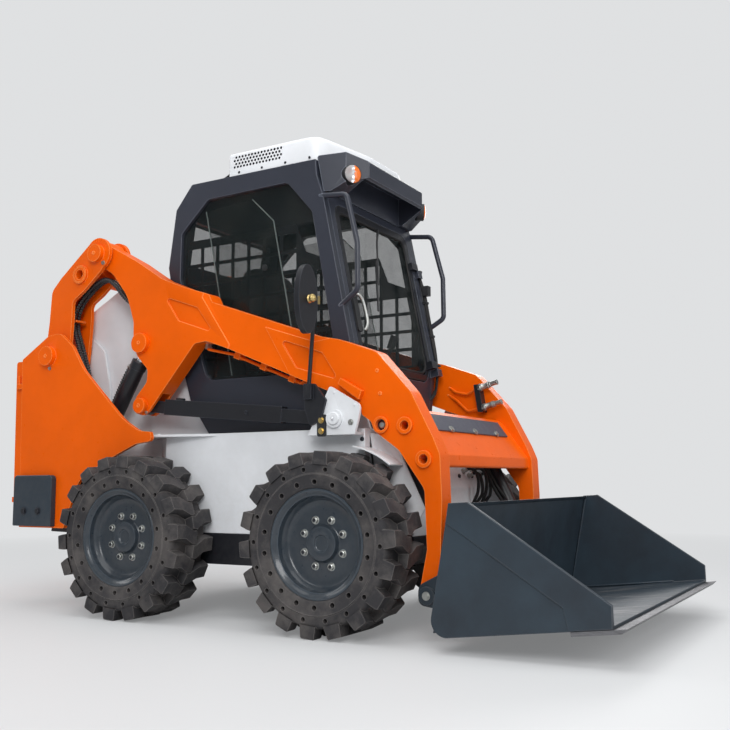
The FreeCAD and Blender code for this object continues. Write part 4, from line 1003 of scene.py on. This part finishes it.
def make_cab_cables():
    """Cables and hoses down the left front post with their clips, and two leads behind the roof unit."""
    mesh = bmesh.new()
    for shift, radius in ((0, 6), (13, 5), (27, 7)):
        hose(mesh, [
            (905, 425 - shift / 4, 1880), (945, 440, 1840 - shift),
            (1000 + shift / 3, 432 + shift / 6, 1650), (1032, 424 + shift / 2, 1500),
            (1060 + shift / 4, 430 + shift / 3, 1330), (1082, 438 - shift / 3, 1200),
            (1068, 434, 1100 - shift), (1040, 420, 1060)], radius)
    for height, depth in ((1760, 972), (1585, 1010), (1400, 1044), (1240, 1076)):
        upright_box(mesh, (depth - 18, 420, height - 6), (depth + 18, 448, height + 6), 1)
    upright_box(mesh, (1006, 412, 1622), (1040, 448, 1676), 1)
    piece = new_piece("post_cables", mesh, [HOSE, BLACK_PLASTIC], "chassis", 40)
    rounded(piece, 2)
    mesh = bmesh.new()
    for shift in (0, 16):
        hose(mesh, [(370, -330 - shift, 2210), (330, -334 - shift, 2222), (285, -345 - shift, 2185),
                    (230, -352 - shift, 2164), (165, -352 - shift, 2162), (140, -352 - shift, 2148)], 7)
    new_piece("roof_leads", mesh, [HOSE], "chassis", 40)


# The roof unit's sections: x, half width, top
roof_sections = (
    (355, 434, 2268), (362, 440, 2274), (560, 440, 2274), (800, 440, 2274), (832, 438, 2274),
    (856, 431, 2273), (876, 418, 2271), (890, 402, 2267), (905, 376, 2262), (922, 341, 2256),
    (960, 260, 2243), (992, 192, 2232), (1004, 164, 2227), (1008, 152, 2220))
ROOF_FOOT = 2152.0
VISOR_TOP = 2177.0
VISOR_START = 876.0
ROOF_CORNER = 22.0
CORNER_STEPS = 5
# The vents in the roof unit's sides: rows of round holes, each row half a pitch off the last
VENT_ROWS = 4
VENT_COLUMNS = 15
VENT_PITCH = 19.5
VENT_ROW_PITCH = 16.5
VENT_START_X = 392.0
VENT_START_Z = 2196.0
VENT_FLOOR = 425.0
VENT_RADIUS = 6.6


def make_roof_unit():
    """The roof unit's cover, lofted through its sections, with its vents and screws."""
    mesh = bmesh.new()
    rings = []
    for x, half, top in roof_sections:
        foot = ROOF_FOOT if x <= VISOR_START else VISOR_TOP
        line = [(half, foot), (half, (foot + top) / 2)]
        for step in range(CORNER_STEPS + 1):
            angle = math.radians(90 * step / CORNER_STEPS)
            inwards = ROOF_CORNER * (1 - math.cos(angle))
            down = ROOF_CORNER * (1 - math.sin(angle))
            line.append((half - inwards, top - down))
        line.append((half * 0.5, top))
        whole = line + [(0, top)] + [(-y, z) for y, z in reversed(line)]
        rings.append([mesh.verts.new(at(x, y, z)) for y, z in whole])
    for here, after in zip(rings, rings[1:]):
        for index in range(len(here) - 1):
            mesh.faces.new([here[index], here[index + 1], after[index + 1], after[index]])
        mesh.faces.new([here[-1], here[0], after[0], after[-1]])
    mesh.faces.new(rings[0])
    mesh.faces.new(rings[-1][::-1])
    piece = new_piece("roof_unit_cover", mesh, [WHITE, BLACK], "chassis", 30)
    plugs = bmesh.new()
    for side in SIDES:
        for row in range(VENT_ROWS):
            for column in range(VENT_COLUMNS):
                x = VENT_START_X + column * VENT_PITCH + (row % 2) * VENT_PITCH / 2
                z = VENT_START_Z + row * VENT_ROW_PITCH
                turned(plugs, at(x, side * VENT_FLOOR, z), outwards(side),
                       [(0, 0), (VENT_RADIUS, 0), (VENT_RADIUS, 20), (0, 20)], 10, 1)
    drilled(piece, plugs, (WHITE, BLACK))
    shade(piece, 30)
    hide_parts("roof_unit")
    mesh = bmesh.new()
    for side in SIDES:
        for x in (420, 560, 700, 840):
            bolt(mesh, at(x, 440 * side, 2166), outwards(side), 4.5, 3.5)
    new_piece("roof_screws", mesh, [BLACK], "chassis", 30)


LAMP_CENTRE = (1030.0, 366.0, 2070.0)
LAMP_OUTWARD = Vector((0.87, 0.49, -0.05)).normalized()
# Metres from the lamp's middle at which its glass turns amber
AMBER_START = 0.004


def make_lamps():
    """Two lamps with a bezel, a bowl and a domed glass, amber towards the machine's middle."""
    body = bmesh.new()
    lens = bmesh.new()
    for side in SIDES:
        outward = Vector((LAMP_OUTWARD.x, LAMP_OUTWARD.y * side, LAMP_OUTWARD.z))
        centre = at(LAMP_CENTRE[0], LAMP_CENTRE[1] * side, LAMP_CENTRE[2])
        turned(body, centre, outward, [
            (0, -33), (38, -33), (45.8, -24), (45.8, 12), (45, 14), (43.8, 14), (43.6, 9)], 40, 0)
        turned(body, centre, outward, [(43.6, 9), (38, -4), (26, -20), (12, -26), (0, -27)], 40, 1)
        turned(body, centre, outward, [(0, -26), (9, -25), (9, -8), (6, -3), (0, -2)], 16, 2)
        before = len(lens.faces)
        turned(lens, centre, outward, [
            (43.5, 9), (43.5, 12), (42, 15), (36, 18.4), (27, 21), (15, 22.8), (0, 23.4)], 40)
        lens.faces.ensure_lookup_table()
        for face in list(lens.faces)[before:]:
            aside = (face.calc_center_median() - centre).dot(Vector((-outward.y, outward.x, 0))) * side
            face.material_index = 1 if aside < -AMBER_START else 0
    piece = new_piece(
        "front_lamp_bowls", body, [BLACK_PLASTIC, CHROME, LAMP_GLASS], "chassis", 35)
    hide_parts("front_lamps")
    new_piece("front_lamp_lenses", lens, [LAMP_GLASS, AMBER], "chassis", 40)


def make_mirror_fittings():
    """The mirror's ball joint with its clamp, the pad at the foot of its rod, and its glass."""
    mesh = bmesh.new()
    turned(mesh, at(1040, -752, 1407), Vector((1, -0.35, 0)), [
        (0, -4), (17, -4), (20, 2), (20, 8), (15, 13), (9, 17), (9, 22), (15, 26), (18, 33), (15, 40),
        (8, 44), (0, 45)], 28)
    sweep(mesh, [at(1072, -762, 1407), at(1050, -712, 1412), at(1024, -664, 1420)], [0.008] * 3, 12)
    upright_box(mesh, (998, -664, 1404), (1028, -636, 1440))
    bolt(mesh, at(1013, -664, 1422), Vector((0, -1, 0)), 7, 7)
    piece = new_piece("mirror_joint", mesh, [YELLOW_ZINC], "chassis", 35)
    rounded(piece, 2)
    mesh = bmesh.new()
    pad = rounded_corners(1002, 826, 1046, 922, 10)
    prism(mesh, pad, lambda a, b, h: at(a, -612 - h, b), 0, 9)
    for height in (897, 850):
        bolt(mesh, at(1024, -621, height), Vector((0, -1, 0)), 10, 9, 1)
    new_piece("mirror_foot_pad", mesh, [BLACK_PLASTIC, YELLOW_ZINC], "chassis", 30)
    mesh = bmesh.new()
    oval = [(60 * a, 136 * b) for a, b in circle(1, 40)]
    prism(mesh, oval, lambda a, b, h: at(1023 - h, -760 + a, 1407 + b), 0, 1.5)
    new_piece("mirror_glass", mesh, [CHROME], "chassis", 20)


# Seat

# The cushions are boxes with round sides: the higher this power, the squarer they are
SQUARENESS = 5
BOLSTER_START = 0.72
SEAM_DEPTH = 0.12


def rounding(*shares):
    """How far a point of the square box lies outside the round one."""
    return sum(abs(share) ** SQUARENESS for share in shares) ** (1 / SQUARENESS)


def cushion(name, node, middle, half, lean, channels, bolster):
    """A padded form: crowned, drawn in between its corners, with sewn channels and side bolsters."""
    mesh = bmesh.new()
    bmesh.ops.create_cube(mesh, size=2.0)
    bmesh.ops.subdivide_edges(mesh, edges=mesh.edges, cuts=31, use_grid_fill=True)
    for vertex in mesh.verts:
        a, b, c = vertex.co
        size = rounding(a, b, c)
        a, b, c = a / size, b / size, c / size
        crown = 1 + 0.16 * (1 - a * a) * (1 - b * b) - 0.10
        inside = 1 if abs(b) < BOLSTER_START else 0
        seam = sum(math.exp(-((a - place) / 0.022) ** 2) for place in channels) * inside
        side_seam = math.exp(-((abs(b) - BOLSTER_START) / 0.02) ** 2)
        lift = bolster * max(0.0, abs(b) - BOLSTER_START) / (1 - BOLSTER_START)
        top = max(0.0, c)
        shift = -SEAM_DEPTH * top * (seam + side_seam) + lift * top
        draw = 1 - 0.025 * (1 - a ** 4) * (1 - abs(c)) - 0.01
        place = Vector((a * half[0], b * half[1] * draw, (c * crown + shift) * half[2]))
        vertex.co = middle + lean @ (place / 1000)
    piece = new_piece(name, mesh, [VINYL], "chassis", 60)
    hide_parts(node)
    piping = bmesh.new()
    spots = []
    for a, b in circle(1, 72):
        size = rounding(a, b)
        place = Vector((a / size * half[0] * 0.985, b / size * half[1] * 0.955, half[2] * 0.2))
        spots.append(middle + lean @ (place / 1000))
    loop(piping, spots, 3.2)
    new_piece(name + "_piping", piping, [HOSE], "chassis", 50)


# Degrees by which the cushion rises to the front and the back leans to the rear
CUSHION_LEAN = 2.5
BACK_LEAN = 4.3


def make_seat():
    flat = Matrix.Rotation(math.radians(-CUSHION_LEAN), 3, "Y")
    cushion("seat_cushion_padding", "seat_cushion", at(605, 0, 1180), (220, 236, 49), flat,
            (-0.45, 0.0, 0.45), 0.12)
    upright = Matrix.Rotation(math.radians(-90 - BACK_LEAN), 3, "Y")
    upright = upright @ Matrix.Rotation(math.radians(180), 3, "Z")
    cushion("seat_back_padding", "seat_back", at(309, 0, 1446), (308, 226, 44), upright,
            (-0.5, -0.12, 0.26, 0.62), 0.18)


# Arm, hoses and hydraulics

HOSE_STATIONS = (521.0, 549.0)
SLEEVE_RADIUS = 12.5
hose_on_boom = ((-470, 1650), (-392, 1702), (-306, 1668), (-212, 1560), (-140, 1520))
hose_on_link = ((-470, 1650), (-548, 1598), (-604, 1480), (-540, 1330), (-474, 1150), (-452, 1010))


def make_sleeves():
    """Ribbed sleeves from the tower up the rear link and round into the arm."""
    upper = bmesh.new()
    lower = bmesh.new()
    for side in SIDES:
        for index, y in enumerate(HOSE_STATIONS):
            ribbed_hose(upper, [(x, y * side, z) for x, z in hose_on_boom], SLEEVE_RADIUS)
            ribbed_hose(lower, [(x, y * side, z) for x, z in hose_on_link]
                        + [(-424, 446 * side, 960 - index * 40)], SLEEVE_RADIUS)
    piece = new_piece("arm_sleeves", upper, [SLEEVE], None, 60)
    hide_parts("boom_hoses")
    at(-470, 0, 1650)
    at(-300, 0, 1664)
    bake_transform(piece)
    piece = new_piece("link_sleeves", lower, [SLEEVE], None, 60)
    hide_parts("link_hoses")
    at(-452, 0, 1010)
    at(-552, 0, 1350)
    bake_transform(piece)
    mesh = bmesh.new()
    for side in SIDES:
        side_box(mesh, (-597, 500, 1478), (-551, 570, 1490), side)
    piece = new_piece("sleeve_clips", mesh, [ORANGE], "rear_link", 30)
    rounded(piece, 4)


def make_lift_hoses():
    """A ribbed hose beside each lift cylinder, with its port near the mouth."""
    mesh = bmesh.new()
    for side in SIDES:
        y = 535 * side
        ribbed_hose(mesh, [
            (-196, y, 1214), (-228, y, 1172), (-300, y, 1041), (-369, y, 927), (-440, y, 809)], 10)
        fitting(mesh, at(-170, y, 1208), Vector((-0.86, 0, 0.5)), 9, 1)
    new_piece("lift_hoses", mesh, [SLEEVE, ZINC], "lift_barrel_pair", 60)


PIPE_STATIONS = (499.0, 517.0)


def make_arm_fittings():
    """The pipes' unions, the couplers' plugs, the arm's front pin ends, and the tilt cylinders' hoses."""
    mesh = bmesh.new()
    for side in SIDES:
        for y in PIPE_STATIONS:
            fitting(mesh, at(300, y * side, 1275), Vector((0, 0, 1)), 8)
    for x, z in ((1300, 1108), (1322, 1006)):
        start = at(x, 450, z)
        outward = Vector((70, 0, 18)).normalized()
        turned(mesh, start, outward, [
            (0, 6), (19, 6), (20, 8), (20, 22), (17, 24), (17, 30), (15.6, 32), (15.6, 56), (17.5, 58),
            (17.5, 66), (16, 68), (16, 76), (13, 78)], 32)
        turned(mesh, start, outward, [
            (12.2, 78), (12.2, 108), (14.2, 109), (14.2, 114), (11, 116), (0, 116)], 32)
    for side in SIDES:
        outward = outwards(side)
        turned(mesh, at(1301, 570 * side, 869), outward, [(23.8, -2), (23.8, 1), (0, 1)], 32, 1)
        turned(mesh, at(1301, 570 * side, 869), outward, [(14, 0), (14, 6), (11, 9), (0, 10)], 24)
    new_piece("arm_fittings", mesh, [ZINC, BLACK], "boom", 35)
    mesh = bmesh.new()
    hose(mesh, [(1340, 406, 788), (1336, 378, 784), (1352, 362, 740), (1392, 364, 640), (1428, 382, 560),
                (1448, 408, 522)], 8)
    hose(mesh, [(1364, 406, 738), (1362, 384, 732), (1380, 376, 690), (1410, 376, 630), (1436, 388, 580),
                (1460, 408, 548)], 8)
    hose(mesh, [(1396, -300, 886), (1356, -306, 860), (1330, -336, 800), (1334, -378, 742),
                (1362, -408, 704)], 8)
    new_piece("tilt_hoses", mesh, [HOSE], "boom", 50)


NOSE_NORMAL = (0.913, 0.0, 0.406)


def make_nose_fittings():
    """A row of ports on the nose with short hoses that turn back down to the belly."""
    mesh = bmesh.new()
    for x, y, z in ((1311, 215, 678), (1320, 262, 656), (1310, 318, 680), (1322, 366, 653)):
        fitting(mesh, at(x, y, z), Vector(NOSE_NORMAL), 9, 1)
        hose(mesh, [(x + 27, y, z + 12), (x + 56, y, z + 20), (1396, y + 2, z - 24), (1394, y + 6, z - 90),
                    (1376, y + 8, 545), (1350, y + 8, 506), (1330, y + 8, 490)], 8)
    new_piece("nose_hoses", mesh, [HOSE, ZINC], "chassis", 50)


def make_link_knobs():
    """A black knob on top of each control link."""
    mesh = bmesh.new()
    for side in SIDES:
        turned(mesh, at(150, 535 * side, 1020), Vector((0.09, 0, 1)), [
            (0, 0), (7, 0), (7, 10), (22, 11), (23, 14), (23, 19), (21, 21), (0, 21)], 24)
    new_piece("link_knobs", mesh, [BLACK_PLASTIC], "control_link_pair", 35)


# Bucket

band_outline = (
    (1724, 552), (1801, 556), (2320, 216), (2321, 139), (2168, 121), (2150, 200), (1790, 432),
    (1712, 480))


def make_bucket_bands():
    """The wear plates on the bucket's sides, and the welds inside and along them."""
    mesh = bmesh.new()
    for side in SIDES:
        side_plate(mesh, band_outline, 833, 841, side)
    piece = new_piece("bucket_bands", mesh, [BUCKET], "bucket_body", 30)
    rounded(piece, 2)
    mesh = bmesh.new()
    for side in SIDES:
        edge = [at(x, 836 * side, z) for x, z in ((2150, 200), (1790, 432), (1712, 480))]
        sweep(mesh, edge, [0.004] * 3, 8)
        inner = [at(x, 820 * side, z) for x, z in ((1739, 534), (1650, 78), (2170, 133))]
        sweep(mesh, inner, [0.006] * 3, 8)
    new_piece("bucket_welds", mesh, [BUCKET], "bucket_body", 60)


# Tail

# A lamp's housing, red glass and amber glass: finish, lowest corner and highest corner
tail_lamp_boxes = (
    (0, (-934, 430, 1196), (-920, 560, 1240)), (1, (-939, 436, 1201), (-932, 494, 1235)),
    (2, (-939, 500, 1201), (-932, 554, 1235)))


def make_tail_fittings():
    """The tail door's latch, and the two lamps above it."""
    mesh = bmesh.new()
    upright_box(mesh, (-944, -590, 820), (-926, -560, 960))
    turned(mesh, at(-930, -575, 890), Vector((-1, 0, 0)), [(0, 0), (24, 0), (24, 12), (20, 15), (0, 15)], 28)
    piece = new_piece("tail_latch", mesh, [BLACK_PLASTIC], "tail_door_body", 35)
    rounded(piece, 2.5)
    mesh = bmesh.new()
    for side in SIDES:
        for finish, low, high in tail_lamp_boxes:
            side_box(mesh, low, high, side, finish)
    piece = new_piece("tail_lamps", mesh, [BLACK_PLASTIC, RED, AMBER], "tail_door_body", 30)
    rounded(piece, 2)


# Metres from the middle within which a face of the towers belongs to their inner plates
INNER_TOWER_LIMIT = 0.442


def whiten_inner_towers():
    """The towers' inner plates are the white side of the engine bay."""
    piece = bpy.data.objects["dressed_towers"]
    piece.data.materials.append(WHITE)
    for face in piece.data.polygons:
        if abs(face.center.y) < INNER_TOWER_LIMIT:
            face.material_index = 1


# Node, finish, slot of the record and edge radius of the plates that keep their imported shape
dressed = (
    ("axle_tubes", BLACK, "black_paint", 2), ("boom_left", ORANGE, "orange_paint", 3),
    ("boom_right", ORANGE, "orange_paint", 3), ("boom_fittings", ORANGE, "orange_paint", 3),
    ("boom_crossbeam", ORANGE, "orange_paint", 4), ("beam_plate", PLATE_GREY, "plate_grey", 1.5),
    ("quick_couplers", BLACK, "black_paint", 1.5), ("rear_link_left", ORANGE, "orange_paint", 3),
    ("rear_link_right", ORANGE, "orange_paint", 3), ("link_cross_tube", ORANGE, "orange_paint", 2),
    ("towers", ORANGE, "orange_paint", 3), ("counterweights", WEIGHT, "weight_grey", 6),
    ("control_links", BLACK, "black_paint", 3), ("link_brackets", WHITE, "white_paint", 3),
    ("lift_barrels", BLACK, "black_paint", 2), ("tilt_barrels", BLACK, "black_paint", 2),
    ("attachment_frame", BUCKET, "bucket_paint", 3), ("bucket", BUCKET, "bucket_paint", 2.5),
    ("cutting_edge", EDGE_STEEL, "edge_steel", 1.5), ("underframe", BLACK, "black_paint", 4),
    ("hull", WHITE, "white_paint", 4), ("front_fenders", WHITE, "white_paint", 2),
    ("engine_cover", WHITE, "white_paint", 5), ("engine_grille", BLACK, "black_paint", 1),
    ("engine", IRON, "engine_iron", 6), ("tail_door", ORANGE, "orange_paint", 3),
    ("cab_sides", SLATE, "slate_paint", 5), ("cab_shell", SLATE, "slate_paint", 3),
    ("cab_front", SLATE, "slate_paint", 3), ("visor", SLATE, "slate_paint", 5),
    ("cab_door", BLACK, "black_paint", 2), ("cab_controls", BLACK_PLASTIC, "black_plastic", 5),
    ("seat_base", BLACK_PLASTIC, "black_plastic", 6), ("mirror", BLACK, "black_plastic", 4))

# Nodes that stay as packed and only take a finish
plain = (
    ("lift_rods", CHROME), ("tilt_rods", CHROME), ("side_glass", GLASS), ("rear_glass", GLASS),
    ("door_glass", GLASS), ("grab_handles", SLATE), ("side_guards", BLACK), ("arm_pipes", ORANGE))


# Light and floor

BACKDROP = colour(0.74, 0.75, 0.76)
# How strongly the backdrop lights the object, and how much of it shows in gloss
AMBIENT = 0.37
MIRRORED = 0.2
# Softboxes: name, place, size, power and the point they aim at, in metres and watts
softboxes = (
    ("top_softbox", (0.4, -1.2, 5.4), 5.0, 175, (0, 0, 0.8)),
    ("key_softbox", (3.6, -6.4, 4.4), 3.2, 318, (0, 0, 0.8)),
    ("front_softbox", (6.5, -0.4, 3.2), 3.0, 118, (0, 0, 0.8)),
    ("rear_softbox", (-6.0, -1.0, 4.2), 3.0, 105, (0, 0, 0.9)),
    ("left_softbox", (-1.5, 6.0, 4.2), 3.4, 150, (0, 0, 0.9)))
# Metres from the middle between which the floor fades into the backdrop, and the floor's own radius
FLOOR_FADE = (2.2, 7.5)
FLOOR_REACH = 14.0


def make_light():
    """A pale world that shows behind the machine, and softboxes round it."""
    scene = bpy.context.scene
    world = bpy.data.worlds.new("studio")
    world.use_nodes = True
    tree = world.node_tree
    back = tree.nodes["Background"]
    path = tree.nodes.new("ShaderNodeLightPath")
    seen = Shade(tree, path.outputs["Is Camera Ray"])
    seen = seen.maths("MAXIMUM", seen, Shade(tree, path.outputs["Is Transmission Ray"]))
    seen = seen.maths("MAXIMUM", seen, Shade(tree, path.outputs["Is Glossy Ray"]) * MIRRORED)
    strength = seen * (1 - AMBIENT) + AMBIENT
    tree.links.new(strength.socket, back.inputs["Strength"])
    back.inputs["Color"].default_value = BACKDROP
    scene.world = world
    for name, place, size, power, aim in softboxes:
        data = bpy.data.lights.new(name, "AREA")
        data.size = size
        data.energy = power
        lamp = linked(name, data)
        lamp.location = place
        lamp.rotation_euler = (Vector(aim) - Vector(place)).to_track_quat("-Z", "Y").to_euler()
    scene.view_settings.view_transform = "Standard"


def make_floor():
    """A round floor that takes the machine's shadow and fades into the backdrop."""
    mesh = bmesh.new()
    centre = mesh.verts.new((0, 0, 0))
    edge = [mesh.verts.new((x, y, 0)) for x, y in circle(FLOOR_REACH, 40)]
    for here, after in zip(edge, edge[1:] + edge[:1]):
        mesh.faces.new([centre, here, after])
    data = bpy.data.meshes.new("floor")
    mesh.to_mesh(data)
    mesh.free()
    finish = Finish("floor_paint", base_color=colour(0.66, 0.67, 0.68), roughness=0.55)
    tree = finish.tree
    path = tree.nodes.new("ShaderNodeLightPath")
    seen = Shade(tree, path.outputs["Is Camera Ray"])
    distance = finish.node("ShaderNodeVectorMath", "Value", {"operation": "LENGTH"}, {0: finish.place()})
    fade = finish.spread(distance, *FLOOR_FADE, 0.25, 1.0)
    glow = finish.node("ShaderNodeEmission", 0, {}, {"Color": BACKDROP, "Strength": 1.0})
    output = tree.nodes["Material Output"]
    blend = finish.node("ShaderNodeMixShader", 0, {}, {
        0: seen * fade, 1: Shade(tree, finish.shader.outputs[0]), 2: glow})
    tree.links.new(blend.socket, output.inputs["Surface"])
    data.materials.append(finish.material)
    floor = linked("floor", data)


make_camera()
make_light()
make_floor()
make_wheels()
make_bolts()
make_pin_marks()
make_seals()
make_sliding_panes()
make_door_fittings()
make_cab_cables()
make_roof_unit()
make_lamps()
make_mirror_fittings()
make_seat()
make_sleeves()
make_lift_hoses()
make_arm_fittings()
make_nose_fittings()
make_link_knobs()
make_bucket_bands()
make_tail_fittings()
for node, finish, slot, width in dressed:
    softened(node, finish, width)
whiten_inner_towers()
for node, finish in plain:
    piece = frame["nodes"][node]
    for place in piece.material_slots:
        place.material = finish
